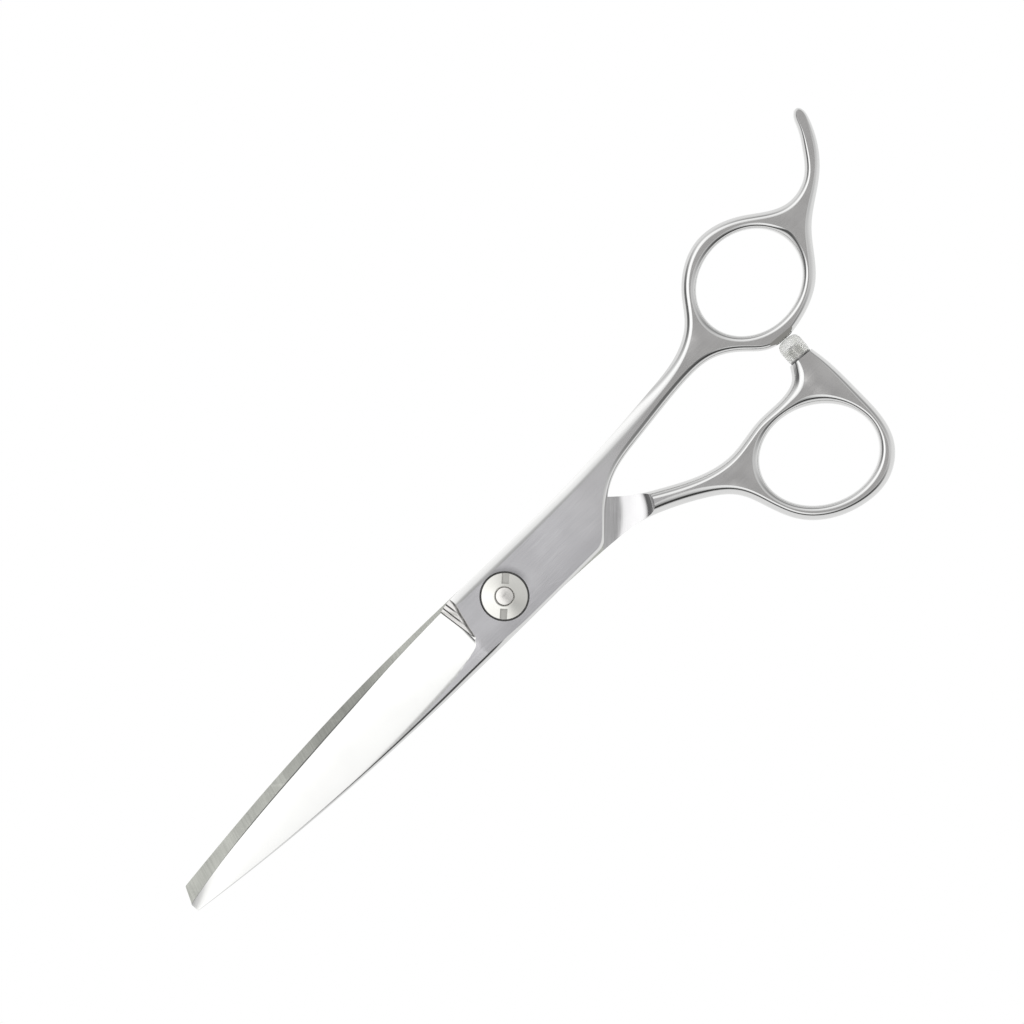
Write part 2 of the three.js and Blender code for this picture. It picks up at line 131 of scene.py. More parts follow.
def ellipse(x, y, a, b, turn, step=STEP):
    n = int(2 * math.pi * (a + b) / 2 / step)
    t = -np.arange(n) * 2 * math.pi / n
    c, s = math.cos(math.radians(turn)), math.sin(math.radians(turn))
    ex, ey = a * np.cos(t), b * np.sin(t)
    return np.stack([x + ex * c - ey * s, y + ex * s + ey * c], 1)


def keyed(loop, keys):
    """Values along a loop from keys (x, y, value, ...), eased between them."""
    s = arc_length(loop)
    at, rows = [], []
    for key in keys:
        i = int(np.argmin(np.hypot(loop[:, 0] - key[0], loop[:, 1] - key[1])))
        at.append(s[i])
        rows.append(key[2:] if len(key) == 7 else key[2:] + (0,))
    order = np.argsort(at)
    at, rows = np.array(at)[order], np.array(rows, float)[order]
    out = np.stack([np.interp(s[:-1], at, rows[:, k], period=s[-1]) for k in range(rows.shape[1])], 1)
    return around(out, 2.5)


# ------------------------------------------------------------------- mesh making
class Shell:
    """Collects points and faces. Each face corner carries its own normal, and each face its zone."""

    def __init__(self):
        self.v, self.f, self.n, self.z, self.count = [], [], [], [], 0

    def points(self, p):
        start = self.count
        self.v.append(np.asarray(p, float).reshape(-1, 3))
        self.count += len(self.v[-1])
        return np.arange(start, self.count)

    def faces(self, index, normals, zone):
        index = np.asarray(index)
        normals = np.broadcast_to(np.asarray(normals, float), index.shape + (3,))
        self.f.append(index)
        self.n.append(normals.reshape(-1, 3))
        self.z.append(np.full(len(index), zone, np.int32))

    def build(self, name):
        me = bpy.data.meshes.new(name)
        me.from_pydata(np.vstack(self.v).tolist(), [], [row.tolist() for block in self.f for row in block])
        n = np.vstack(self.n)
        n = n / np.maximum(np.linalg.norm(n, axis=1, keepdims=True), 1e-12)
        me.attributes.new("nrm", "FLOAT_VECTOR", "CORNER").data.foreach_set("vector", n.astype(np.float32).ravel())
        me.attributes.new("zone", "INT", "FACE").data.foreach_set("value", np.concatenate(self.z))
        bm = bmesh.new()
        bm.from_mesh(me)
        bmesh.ops.recalc_face_normals(bm, faces=bm.faces)
        bm.to_mesh(me)
        bm.free()
        ob = bpy.data.objects.new(name, me)
        scene.collection.objects.link(ob)
        return ob


def boolean(ob, other, operation="DIFFERENCE"):
    m = ob.modifiers.new("b", "BOOLEAN")
    m.object, m.operation, m.solver = other, operation, "MANIFOLD"
    made = bpy.data.meshes.new_from_object(ob.evaluated_get(bpy.context.evaluated_depsgraph_get()))
    if len(made.polygons) == 0 or (len(made.polygons) == len(ob.data.polygons) and operation == "DIFFERENCE"):
        m.solver = "EXACT"
        made = bpy.data.meshes.new_from_object(ob.evaluated_get(bpy.context.evaluated_depsgraph_get()))
        print("boolean: exact solver used for", ob.name, other.name)
    ob.modifiers.clear()
    old, ob.data = ob.data, made
    bpy.data.meshes.remove(old)
    mesh = other.data
    bpy.data.objects.remove(other)
    bpy.data.meshes.remove(mesh)
    return ob


def read(me, name, kind, width, dtype=np.float32):
    data = me.attributes[name].data
    out = np.zeros(len(data) * width, dtype)
    data.foreach_get(kind, out)
    return out.reshape(-1, width) if width > 1 else out


def finish_mesh(ob, name, materials, place=None):
    """Turns a working mesh in millimetres into a piece in metres, with its normals and finishes."""
    me = ob.data
    bm = bmesh.new()
    bm.from_mesh(me)
    bmesh.ops.dissolve_degenerate(bm, dist=2e-4, edges=bm.edges)
    loose = [v for v in bm.verts if not v.link_faces]
    bmesh.ops.delete(bm, geom=loose, context="VERTS")
    bm.to_mesh(me)
    open_edges = sum(1 for e in bm.edges if len(e.link_faces) != 2)
    bm.free()
    co, nrm, zone = read(me, "position", "vector", 3), read(me, "nrm", "vector", 3), read(me, "zone", "value", 1, np.int32)
    if place is not None:
        co, nrm = place(co, nrm)
    me.attributes["position"].data.foreach_set("vector", (co * MM).astype(np.float32).ravel())
    me.attributes.remove(me.attributes["nrm"])
    me.update()
    length = np.linalg.norm(nrm, axis=1, keepdims=True)
    nrm = np.where(length > 1e-6, nrm / np.maximum(length, 1e-9), 0)
    me.shade_smooth()
    start = np.zeros(len(me.polygons), np.int32)
    total = np.zeros(len(me.polygons), np.int32)
    flat = np.zeros(len(me.polygons) * 3, np.float32)
    me.polygons.foreach_get("loop_start", start)
    me.polygons.foreach_get("loop_total", total)
    me.polygons.foreach_get("normal", flat)
    face_of = np.repeat(np.arange(len(me.polygons)), total)
    facing = (nrm * flat.reshape(-1, 3)[face_of]).sum(1)
    nrm = np.where((facing < 0.05)[:, None], flat.reshape(-1, 3)[face_of], nrm)
    me.normals_split_custom_set(nrm.tolist())
    me.materials.clear()
    for m in materials:
        me.materials.append(m)
    me.polygons.foreach_set("material_index", zone if len(materials) > 1 else np.zeros_like(zone))
    me.update()
    ob.name = me.name = name
    print(name, "faces", len(me.polygons), "open", open_edges, "turned corners", int((facing < 0.05).sum()))
    return ob


def lathe(profile, zone=SATIN, count=128, inside=False):
    """A turned solid. profile is a list of smooth runs of (r, z), from the axis to the axis. inside turns the
    normals in, for a tool that leaves a bore."""
    sh = Shell()
    t = np.arange(count) * 2 * math.pi / count
    ring = np.stack([np.cos(t), np.sin(t)], 1)
    known = {}

    def ids(r, z):
        key = (round(r, 6), round(z, 6))
        if key not in known:
            if r < 1e-9:
                known[key] = np.repeat(sh.points([[0, 0, z]]), count)
            else:
                known[key] = sh.points(np.column_stack([ring * r, np.full(count, z)]))
        return known[key]

    nxt = np.roll(np.arange(count), -1)
    zones = zone if isinstance(zone, list) else [zone] * len(profile)
    for run, zone in zip(profile, zones):
        run = np.array(run, float)
        d = np.gradient(run, axis=0) if len(run) > 2 else np.repeat(run[1:] - run[:1], 2, axis=0)
        for i in range(len(run) - 1):
            a, b = ids(*run[i]), ids(*run[i + 1])
            na, nb = (d[i][1], -d[i][0]), (d[i + 1][1], -d[i + 1][0])
            sign = -1.0 if inside else 1.0
            va = np.column_stack([ring * na[0], np.full(count, na[1])]) * sign
            vb = np.column_stack([ring * nb[0], np.full(count, nb[1])]) * sign
            if run[i][0] < 1e-9:
                sh.faces(np.stack([a, b, b[nxt]], 1)[:, ::-1], np.stack([va, vb, vb[nxt]], 1)[:, ::-1], zone)
            elif run[i + 1][0] < 1e-9:
                sh.faces(np.stack([a, a[nxt], b], 1), np.stack([va, va[nxt], vb], 1), zone)
            else:
                sh.faces(np.stack([a, a[nxt], b[nxt], b], 1), np.stack([va, va[nxt], vb[nxt], vb], 1), zone)
    return sh


def arc(cx, cz, r, a0, a1, n=8):
    t = np.radians(np.linspace(a0, a1, n + 1))
    return [(cx + r * math.cos(x), cz + r * math.sin(x)) for x in t]


# -------------------------------------------------------------- the forged halves
def top_height(x):
    """Height of the upper face of a half along its length."""
    x = np.asarray(x, float)
    past = np.clip((NOTCH_X - x) / (NOTCH_X - TIP_X), 0, 1.05)
    k = np.clip((x - 24.0) / 21.0, 0, 1)
    k = k * k * (3 - 2 * k)
    return BODY_TOP - 1.75 * past ** 0.86 - (BODY_TOP - HANDLE_TOP) * k


def inside_loops(q, loops):
    """Even-odd test of points q against closed loops."""
    hit = np.zeros(len(q), bool)
    for loop in loops:
        a, b = loop, np.roll(loop, -1, axis=0)
        for chunk in range(0, len(q), 4000):
            p = q[chunk:chunk + 4000]
            above = (a[:, 1] > p[:, 1:2]) != (b[:, 1] > p[:, 1:2])
            dy = np.where(np.abs(b[:, 1] - a[:, 1]) < 1e-12, 1e-12, b[:, 1] - a[:, 1])
            x = a[:, 0] + (p[:, 1:2] - a[:, 1]) * (b[:, 0] - a[:, 0]) / dy
            hit[chunk:chunk + 4000] ^= (above & (p[:, 0:1] < x)).sum(1) % 2 == 1
    return hit


def cap(sh, loops, ids, height, slope, up, zone=SATIN, grid=1.1):
    """Fills the region between loops with triangles at height(x)."""
    bounds = np.vstack(loops)
    lo, hi = bounds.min(0), bounds.max(0)
    gx, gy = np.meshgrid(np.arange(lo[0], hi[0], grid), np.arange(lo[1], hi[1], grid))
    gx[::2] += grid / 2
    q = np.stack([gx.ravel(), gy.ravel()], 1)
    q = q[inside_loops(q, loops)]
    near = np.full(len(q), 1e9)
    for chunk in range(0, len(q), 2000):
        d = np.hypot(q[chunk:chunk + 2000, 0:1] - bounds[:, 0], q[chunk:chunk + 2000, 1:2] - bounds[:, 1])
        near[chunk:chunk + 2000] = d.min(1)
    q = q[near > grid * 0.6]
    inner = sh.points(np.column_stack([q, height(q[:, 0])]))
    placed = sh.v[-1]
    every = np.concatenate(ids + [inner])
    flat = np.vstack([bounds, q])
    edges, start = [], 0
    for loop in loops:
        n = len(loop)
        edges += [(start + i, start + (i + 1) % n) for i in range(n)]
        start += n
    co, _, tris, origin, _, _ = delaunay_2d_cdt([Vector(p) for p in flat.tolist()], edges, [], 0, 1e-7)
    table = []
    for i, o in enumerate(origin):
        if o:
            table.append(every[o[0]])
        else:
            x, y = co[i]
            table.append(sh.points([[x, y, float(height(x))]])[0])
            print("cap: a boundary crosses itself near", round(x, 2), round(y, 2))
    tris = np.array([t for t in tris if len(t) == 3])
    co = np.array([tuple(c) for c in co])
    centre = co[tris].mean(1)
    tris = tris[inside_loops(centre, loops)]
    a, b, c = co[tris[:, 0]], co[tris[:, 1]], co[tris[:, 2]]
    area = (b[:, 0] - a[:, 0]) * (c[:, 1] - a[:, 1]) - (b[:, 1] - a[:, 1]) * (c[:, 0] - a[:, 0])
    tris[area < 0] = tris[area < 0][:, ::-1]
    # A gentle crown, found by relaxing the height over the triangles with the border held. It fades out at the body.
    pairs = np.unique(np.sort(np.vstack([tris[:, [0, 1]], tris[:, [1, 2]], tris[:, [2, 0]]]), axis=1), axis=0)
    i, j = np.concatenate([pairs[:, 0], pairs[:, 1]]), np.concatenate([pairs[:, 1], pairs[:, 0]])
    links = np.maximum(np.bincount(i, minlength=len(co)), 1)
    spread = np.bincount(i, ((co[i] - co[j]) ** 2).sum(1), len(co)) / links
    lift = CROWN * np.clip((co[:, 0] - 30.0) / 14.0, 0, 1) * spread / 4 * 2
    crown, free = np.zeros(len(co)), np.arange(len(co)) >= len(bounds)
    for _ in range(260):
        crown = np.where(free, np.bincount(i, crown[j], len(co)) / links + lift, 0)
    rise = np.column_stack([co, crown])
    e1, e2 = rise[tris[:, 1]] - rise[tris[:, 0]], rise[tris[:, 2]] - rise[tris[:, 0]]
    face = np.cross(e1, e2)
    face = face * np.sign(face[:, 2:3])
    grown = np.zeros((len(co), 3))
    for k in range(3):
        np.add.at(grown, tris[:, k], face)
    tilt = -grown[:, :2] / np.maximum(grown[:, 2:3], 1e-9)
    sign = 1.0 if up else -1.0
    if len(origin) == len(bounds) + len(q):
        placed[:, 2] += sign * crown[len(bounds):]
    s = slope(co[tris][..., 0]) + sign * tilt[tris][..., 0]
    n = np.stack([-s, -sign * tilt[tris][..., 1], np.ones_like(s)], -1)
    index = np.array(table)[tris]
    if up:
        sh.faces(index, n, zone)
    else:
        sh.faces(index[:, ::-1], -n[:, ::-1], zone)


def blank(name, rings, steps=14):
    """A forged blank: the outline and its ring hole with rounded rims, between the upper and lower faces.
    rings holds (loop, upper rim, lower rim). A rim has width, height, the arc's end angle, straightness and start
    angle: an arc from 0 to 90 degrees leaves the wall upright and meets the face level."""
    sh = Shell()
    flat_top, flat_bottom, id_top, id_bottom = [], [], [], []
    for loop, upper, lower in rings:
        n = len(loop)
        t = np.roll(loop, -1, axis=0) - np.roll(loop, 1, axis=0)
        out = np.stack([t[:, 1], -t[:, 0]], 1) / np.linalg.norm(t, axis=1, keepdims=True)
        nxt = np.roll(np.arange(n), -1)
        first = {}
        for side, rim in ((1, upper), (-1, lower)):
            w, h, fm, q, fs = rim[:, 0], rim[:, 1], np.radians(rim[:, 2]), np.clip(rim[:, 3], 0, 1), np.radians(rim[:, 4])
            rows, normals, ids = [], [], []
            for k in range(steps + 1):
                f = fs + (fm - fs) * k / steps
                across_all, up_all = np.cos(fs) - np.cos(fm), np.sin(fm) - np.sin(fs)
                d = (1 - q) * w * (np.cos(fs) - np.cos(f)) / across_all + q * w * k / steps
                z = (1 - q) * (np.sin(f) - np.sin(fs)) / up_all + q * k / steps
                dd = (1 - q) * w * np.sin(f) / across_all + q * w / (fm - fs)
                dz = (1 - q) * h * np.cos(f) / up_all + q * h / (fm - fs)
                xy = loop - out * d[:, None]
                level = top_height(xy[:, 0]) - h * (1 - z) if side > 0 else HANDLE_BOTTOM + h * (1 - z)
                p = np.column_stack([xy, level])
                along = np.roll(p, -1, axis=0) - np.roll(p, 1, axis=0)
                across = np.column_stack([-out * dd[:, None], dz])
                if side < 0:
                    across = np.column_stack([out * dd[:, None], dz])
                normal = np.cross(along, across)
                rows.append(p)
                normals.append(normal / np.linalg.norm(normal, axis=1, keepdims=True))
                ids.append(sh.points(p))
            for k in range(steps):
                quad = [ids[k], ids[k][nxt], ids[k + 1][nxt], ids[k + 1]]
                nq = [normals[k], normals[k][nxt], normals[k + 1][nxt], normals[k + 1]]
                if side < 0:
                    quad, nq = quad[::-1], nq[::-1]
                sh.faces(np.stack(quad, 1), np.stack(nq, 1), RIM)
            first[side] = ids[0]
            (flat_top if side > 0 else flat_bottom).append(rows[-1][:, :2])
            (id_top if side > 0 else id_bottom).append(ids[-1])
        lo, hi = first[-1], first[1]
        on = np.column_stack([out, np.zeros(n)])
        sh.faces(np.stack([lo, lo[nxt], hi[nxt], hi], 1), np.stack([on, on[nxt], on[nxt], on], 1), WALL)
    cap(sh, flat_top, id_top, top_height, lambda x: (top_height(x + 0.01) - top_height(x - 0.01)) / 0.02, True)
    cap(sh, flat_bottom, id_bottom, lambda x: np.full_like(np.asarray(x, float), HANDLE_BOTTOM),
        lambda x: np.zeros_like(x), False)
    return sh.build(name)


def inner_tool(middle):
    """Removes everything below the inner face, which is flat as far as the shank and then sweeps down in a scoop
    whose far end bows outward. middle is where the shank's centre line lies across the scoop."""
    along, across = np.array([1, 1, 0]) / math.sqrt(2), np.array([1, -1, 0]) / math.sqrt(2)
    power, depth = 2.4, 3.41
    k = np.sin(np.radians(np.linspace(0, 88.5, 44)))[1:]
    drop = depth * (1 - (1 - k ** power) ** (1 / power))
    steep = depth * k ** (power - 1) * (1 - k ** power) ** (1 / power - 1)
    sh = Shell()
    rows = []
    places = [-110.0] + list(middle + np.linspace(-4, 4, 17)) + [110.0]
    for c in places:
        length = 9.75 - 0.9 * min(abs(c - middle) / 4.0, 1.0) ** 2
        line = [(-110.0, 3.05, 0.0), (18.0, 3.05, 0.0)]
        line += [(18.0 + length * a, 3.05 - d, m / length) for a, d, m in zip(k, drop, steep)]
        line += [(18.0 + length, -6.0, 0.0), (-110.0, -6.0, 0.0)]
        rows.append(line)
    ids = [sh.points([along * s + across * c + np.array([0, 0, z]) for s, z, _ in line]) for c, line in zip(places, rows)]
    n = len(rows[0])
    for r in range(len(places) - 1):
        for i in range(n):
            j = (i + 1) % n
            smooth = i <= n - 4
            quad = []
            for row, t in ((rows[r], i), (rows[r], j), (rows[r + 1], j), (rows[r + 1], i)):
                quad.append(-along * row[t][2] + np.array([0, 0, -1.0]) if smooth else np.array([0, 0, 1.0]))
            sh.faces([[ids[r][i], ids[r][j], ids[r + 1][j], ids[r + 1][i]]], [quad], INNER if i == 0 else SCOOP)
    sh.faces([ids[0]], -across, BORE)
    sh.faces([ids[-1][::-1]], across, BORE)
    return sh.build("inner_tool")


def heightfield_tool(name, us, vs, to_xy, height, zone, top=12.0, last=None):
    """A closed block whose underside is height(x, y) over a grid, for cutting away all that is above it.
    last is the (column, zone) from which the underside has another finish."""
    u, v = np.meshgrid(us, vs, indexing="ij")
    x, y = to_xy(u, v)
    sh = Shell()
    low = sh.points(np.stack([x, y, height(x, y)], -1).reshape(-1, 3)).reshape(u.shape)
    high = sh.points(np.stack([x, y, np.full_like(x, top)], -1).reshape(-1, 3)).reshape(u.shape)

    def quads(g):
        return np.stack([g[:-1, :-1], g[1:, :-1], g[1:, 1:], g[:-1, 1:]], -1).reshape(-1, 4)

    q = quads(low)
    fx, fy = x.ravel()[q - low[0, 0]], y.ravel()[q - low[0, 0]]
    px, py = fx + (fx.mean(1, keepdims=True) - fx) * 0.02, fy + (fy.mean(1, keepdims=True) - fy) * 0.02
    e = 1e-4
    sx = (height(px + e, py) - height(px - e, py)) / (2 * e)
    sy = (height(px, py + e) - height(px, py - e)) / (2 * e)
    up = np.stack([-sx, -sy, np.ones_like(sx)], -1)
    if callable(zone):
        sh.faces(q, up, zone(fx.mean(1), fy.mean(1)))
    elif last is None:
        sh.faces(q, up, zone)
    else:
        column = np.tile(np.arange(len(vs) - 1), len(us) - 1)
        sh.faces(q[column < last[0]], up[column < last[0]], zone)
        sh.faces(q[column >= last[0]], up[column >= last[0]], last[1])
    zone = RAMP if callable(zone) else zone
    sh.faces(quads(high)[:, ::-1], (0, 0, 1.0), zone)
    for a, b in ((low[0], high[0]), (low[-1], high[-1]), (low[:, 0], high[:, 0]), (low[:, -1], high[:, -1])):
        sh.faces(np.stack([a[:-1], a[1:], b[1:], b[:-1]], 1), (0, 0, 1.0), zone)
    return sh.build(name)


def smooth_line(table, shift):
    """The inner limit of the outer grind as a smooth function of x."""
    xs = np.arange(-90, 0, 0.1)
    t = np.array(sorted(table))
    ys = np.interp(xs, t[:, 0], t[:, 1])
    fine, soft = ys.copy(), ys.copy()
    for sigma, out in ((2.0, fine), (35.0, soft)):
        reach = int(3 * sigma)
        k = np.exp(-0.5 * (np.arange(-reach, reach + 1) / sigma) ** 2)
        out[:] = np.convolve(np.pad(ys, reach, mode="edge"), k / k.sum(), "valid")
    mix = np.clip((-13.5 - xs) / 6.0, 0, 1)
    ys = fine + (soft - fine) * mix * mix * (3 - 2 * mix) + shift * xs
    return lambda x: np.interp(x, xs, ys)


def grind_tool(edge, shift):
    """The outer grind of a blade with its run-out ramp, for a half whose cutting edge is on the +Y side."""
    edge = edge[np.argsort(edge[:, 0])]
    line = smooth_line(GRIND_LINE, shift)

    def rim(x):
        return np.interp(x, edge[:, 0], edge[:, 1])

    def honed(x):
        return np.interp(x, (-80, -70, -62, -50, -34, -24), (0.04, 0.06, 0.16, 0.22, 0.2, 0.04))

    def ground(x, y):
        b, full = line(x), top_height(np.minimum(x, NOTCH_X))
        v = (y - b) / (rim(x) - b)
        wide = 0.75 * np.clip((-11.0 - x) / 6.0, 0.02, 1) * np.clip((x + 84.0) / 30.0, 0.3, 1)
        ease, limit = wide / (rim(x) - b), -wide / (rim(x) - b)
        s, s0 = (v + np.sqrt(v * v + ease * ease)) / 2, (limit + np.sqrt(2.0) * ease) / 2
        z = full - (full - EDGE_Z) * (0.72 * (s - s0) + 0.28 * s * s)
        z = np.where(v < limit, full + 0.3 * (limit - v) * (full - EDGE_Z), z)
        near = y - (rim(x) - honed(x))
        return np.where((near > 0) & (x < -12), z - near * 0.55, z)

    def slope_gap(u, y):
        total = np.zeros_like(u)
        for u0, length, fade, split in ((0.0, 0.8, (-1.3, 0.0), 0.26), (0.8, 0.85, (0.8, 3.2), 0.30), (1.65, 0.95, (3.6, 5.0), 0.34)):
            if isinstance(fade, tuple):
                k = np.clip((y - fade[0]) / (fade[1] - fade[0]), 0, 1)
                k = k * k * (3 - 2 * k)
            else:
                k = fade
            t = np.clip((u - u0) / length, 0, 1)
            low = -0.5
            high = -low * split / (1 - split)
            total = total + k * length * np.where(t < split, low * t, low * split + high * (t - split))
        return total

    ca = math.cos(math.atan(FOOT_B))

    def ramp(x, y):
        foot = FOOT_A + FOOT_B * y
        u = (x - foot) * ca
        base = ground(foot, y)
        up = base + 0.93 * u + slope_gap(u, y)
        down = base + 0.93 * u
        over = up - top_height(x)
        h = np.clip(0.45 - np.abs(over), 0, None) / 0.45
        up = np.where(over > 0.45, top_height(x) + 0.05 * over, np.minimum(up, top_height(x) + 0.05 * over) - h * h * 0.45 / 4)
        return np.where(u >= 0, up, np.where(u > -3, down, np.maximum(1.0, down)))

    def ramp_zone(x, y):
        foot = FOOT_A + FOOT_B * y
        u = (x - foot) * ca
        over = ground(foot, y) + 0.93 * u + slope_gap(u, y) - top_height(x)
        return np.where((u > 0.3) & (over > -0.30), EASED, RAMP)

    xs = -np.concatenate([np.arange(6.0, 14.0, 0.2), np.arange(14.0, 84.1, 0.7)])
    vs = np.concatenate([[-0.4, -0.2, -0.13, -0.1, -0.075, -0.05, -0.025, 0, 0.025, 0.05, 0.08, 0.11], np.linspace(0.15, 1, 12), [2, 2.3, 3]])

    def spread(x, v):
        """v runs from the grind line at 0 to the start of the honed edge at 1 and the edge itself at 2."""
        b, e, h = line(x), rim(x), honed(x)
        return x, np.where(v <= 1, b + v * (e - h - b), np.where(v <= 2, e - h + (v - 1) * h, e + (v - 2) * 3.0))

    us = np.concatenate([[-76.0, -8.0, -3.0, -0.02], np.arange(0, 0.8, 0.052), [0.8], 0.8 + np.arange(1, 20) * 0.85 / 20,
                         [1.65], 1.65 + np.arange(1, 16) * 0.95 / 17, np.arange(2.6, 4.7, 0.08)])
    us = np.unique(np.round(us, 5))
    ys = np.arange(-6.0, 8.6, 0.25)
    tool = heightfield_tool("grind_tool", xs, vs, spread, ground, GRIND, last=(23, HONED))
    ramp_tool = heightfield_tool("ramp_tool", us, ys, lambda u, y: (FOOT_A + FOOT_B * y + u / ca, y), ramp, ramp_zone)
    return boolean(tool, ramp_tool, "INTERSECT")


def plane_tool(point, normal, size, zone=FACET):
    """A block whose near face is the plane through point, for cutting a flat facet. normal points into the block."""
    n = Vector(normal).normalized()
    a = n.cross(Vector((0, 0, 1))).normalized()
    b = a.cross(n)
    sh = Shell()
    p = Vector(point)
    corners = [(-1, -1), (1, -1), (1, 1), (-1, 1)]
    near = sh.points([tuple(p + a * (x * size) + b * (y * 8)) for x, y in corners])
    far = sh.points([tuple(p + a * (x * size) + b * (y * 8) + n * 7) for x, y in corners])
    sh.faces([near], tuple(n), zone)
    sh.faces([far[::-1]], tuple(n), zone)
    for i in range(4):
        j = (i + 1) % 4
        sh.faces([[near[i], near[j], far[j], far[i]]], tuple(n), zone)
    return sh.build("plane_tool")


def block(name, low, high, zone=FACET, inside=False):
    sh = Shell()
    x0, y0, z0 = low
    x1, y1, z1 = high
    c = sh.points([(x, y, z) for z in (z0, z1) for x, y in ((x0, y0), (x1, y0), (x1, y1), (x0, y1))])
    k = -1.0 if inside else 1.0
    for quad, n in (((0, 3, 2, 1), (0, 0, -k)), ((4, 5, 6, 7), (0, 0, k)), ((0, 1, 5, 4), (0, -k, 0)),
                    ((1, 2, 6, 5), (k, 0, 0)), ((2, 3, 7, 6), (0, k, 0)), ((3, 0, 4, 7), (-k, 0, 0))):
        sh.faces([[c[i] for i in quad]], n, zone)
    return sh.build(name)


def moved(ob, turn, shift):
    """Turns and shifts a working mesh together with its corner normals. turn is a 3x3 array."""
    me = ob.data
    turn = np.array(turn, float)
    co, nrm = read(me, "position", "vector", 3), read(me, "nrm", "vector", 3)
    me.attributes["position"].data.foreach_set("vector", (co @ turn.T + shift).astype(np.float32).ravel())
    me.attributes["nrm"].data.foreach_set("vector", (nrm @ turn.T).astype(np.float32).ravel())
    me.update()
    return ob


def turn_z(degrees):
    a = math.radians(degrees)
    return np.array([[math.cos(a), -math.sin(a), 0], [math.sin(a), math.cos(a), 0], [0, 0, 1]])


def axis_along(d):
    """A rotation that takes +Z to d."""
    d = np.array(d, float) / np.linalg.norm(d)
    a = np.cross([0, 0, 1.0], d)
    a = a / np.linalg.norm(a)
    b = np.cross(d, a)
    return np.stack([a, b, d], 1)


def at(curve, x):
    """The point of a plane curve at a station x."""
    return tuple(curve[int(np.argmin(np.abs(curve[:, 0] - x)))])


def rims(loop, keys):
    return keyed(loop, keys)


# ------------------------------------------------------------------- finger half
f_spine, f_inner, f_outer, f_edge = (spline(n) for n in ("F_SPINE", "F_INNER", "F_OUTER", "F_EDGE"))
finger_loop = outline([f_spine, f_inner, [(67.4, -2.88), (69.0, -3.05), (70.6, -3.12)], f_outer, f_edge])

finger_keys = [at(f_spine, x) + v for x, v in (
    (-79.5, (.2, .4, 70, 0)), (-70, (.32, .5, 70, 0)), (-60, (.40, .55, 69, 0)), (-50, (.50, .6, 68, 0)),
    (-41, (.56, .64, 68, 0)), (-32, (.66, .72, 68, 0)), (-26, (.76, .8, 68, 0)), (-20, (.86, .95, 69, 0)),
    (-14, (.95, 1.15, 70, 0)), (-8, (.95, 1.2, 70, 0)), (-4.5, (.7, 1.05, 66, .5)), (0, (.5, .8, 60, 1)),
    (17, (.5, .8, 60, 1)))]
finger_keys += [at(f_inner, x) + v for x, v in (
    (20.5, (.5, 1.0, 66, .5)), (26, (.85, 1.1, 68, 0)), (31, (1.05, 1.25, 70, 0)), (37, (1.2, 1.35, 72, 0)),
    (57, (1.2, 1.4, 72, 0)), (63.5, (1.0, 1.5, 74, 0)))]
finger_keys += [
    (69, -3.05, .85, 1.7, 80, 0), (75, -2.4, 1.15, 1.5, 86, 0), (82.2, 1, 1.3, 1.5, 86, 0), (86, 8.5, 1.3, 1.5, 86, 0),
    (92, 11.5, 1.05, 1.35, 86, 0), (99.5, 19.3, .85, 1.3, 84, 0), (101.1, 23.5, .5, 1.3, 80, 0),
    (100.4, 25.3, .42, 1.3, 80, 0), (98.8, 24.2, .5, 1.3, 80, 0), (96, 19.6, .85, 1.25, 84, 0),
    (91, 14.6, 1.05, 1.35, 86, 0), (85.6, 14, 1.3, 1.5, 86, 0), (79.6, 18.9, 1.3, 1.5, 86, 0),
    (70.2, 21.8, 1.3, 1.45, 86, 0), (62.3, 17.2, 1.35, 1.45, 86, 0), (58.3, 11.3, 1.45, 1.45, 86, 0),
    (53, 8.5, 1.6, 1.2, 87, 0, 25), (42, 7.45, 2.0, .52, 88, 0, 52), (27, 6.25, 1.95, .34, 89, 0, 66),
    (17, 6.0, 1.85, .28, 89, 0, 73), (0, 6.5, 1.85, .235, 89, 0, 76), (-7, 6.6, 1.8, .235, 89, 0, 76),
    (-11.5, 6.03, .1, .5, 60, 0), (-79, .9, .1, .5, 60, 0)]


def lower_of(rim, loop):
    """The lower rim: as the upper one on the handle, plain below the body, where it is cut away."""
    out = rim.copy()
    out[:, 1] = 2.1
    out[:, 2] = np.minimum(out[:, 2], 86)
    out[:, 3:] = 0
    return out


def fitted(hole, rim, loop, outer):
    """The rim of a hole, kept narrow enough to leave flat metal between it and the outer rim."""
    d = np.hypot(hole[:, 0:1] - loop[:, 0], hole[:, 1:2] - loop[:, 1]) - outer[:, 0]
    room = np.minimum(rim[:, 0], d.min(1) - 0.22)
    low = np.min([np.roll(room, k) for k in range(-4, 5)], axis=0)
    out = rim.copy()
    out[:, 0] = np.mean([np.roll(low, k) for k in range(-4, 5)], axis=0)
    return out


finger_rim = rims(finger_loop, finger_keys)
finger_hole = ellipse(71.92, 8.86, 10.45, 9.02, 1.6)
hole_rim = keyed(finger_hole, [(71.92 + 9.7 * math.cos(math.radians(a)), 8.86 + 9.7 * math.sin(math.radians(a)), w, h, f, 0)
                               for a, w, h, f in ((-36, .9, .95, 84), (-24, .92, .95, 64), (-12, 1.0, 1.0, 56), (0, 1.35, 1.25, 49),
                                                  (8, 1.65, 1.5, 47), (19, 1.15, 1.1, 80), (28, 1.0, 1.0, 84), (90, 1.0, .95, 80),
                                                  (150, 1.1, 1.0, 86), (180, 1.3, 1.1, 86), (215, 1.1, 1.0, 86), (270, .95, .95, 86))])
hole_rim = fitted(np.asarray(finger_hole), hole_rim, np.asarray(finger_loop), finger_rim)
finger = blank("finger", [(finger_loop, finger_rim, lower_of(finger_rim, finger_loop)),
                          (finger_hole, hole_rim, hole_rim)])
boolean(finger, inner_tool(24.5))
boolean(finger, grind_tool(f_edge, 0.0))
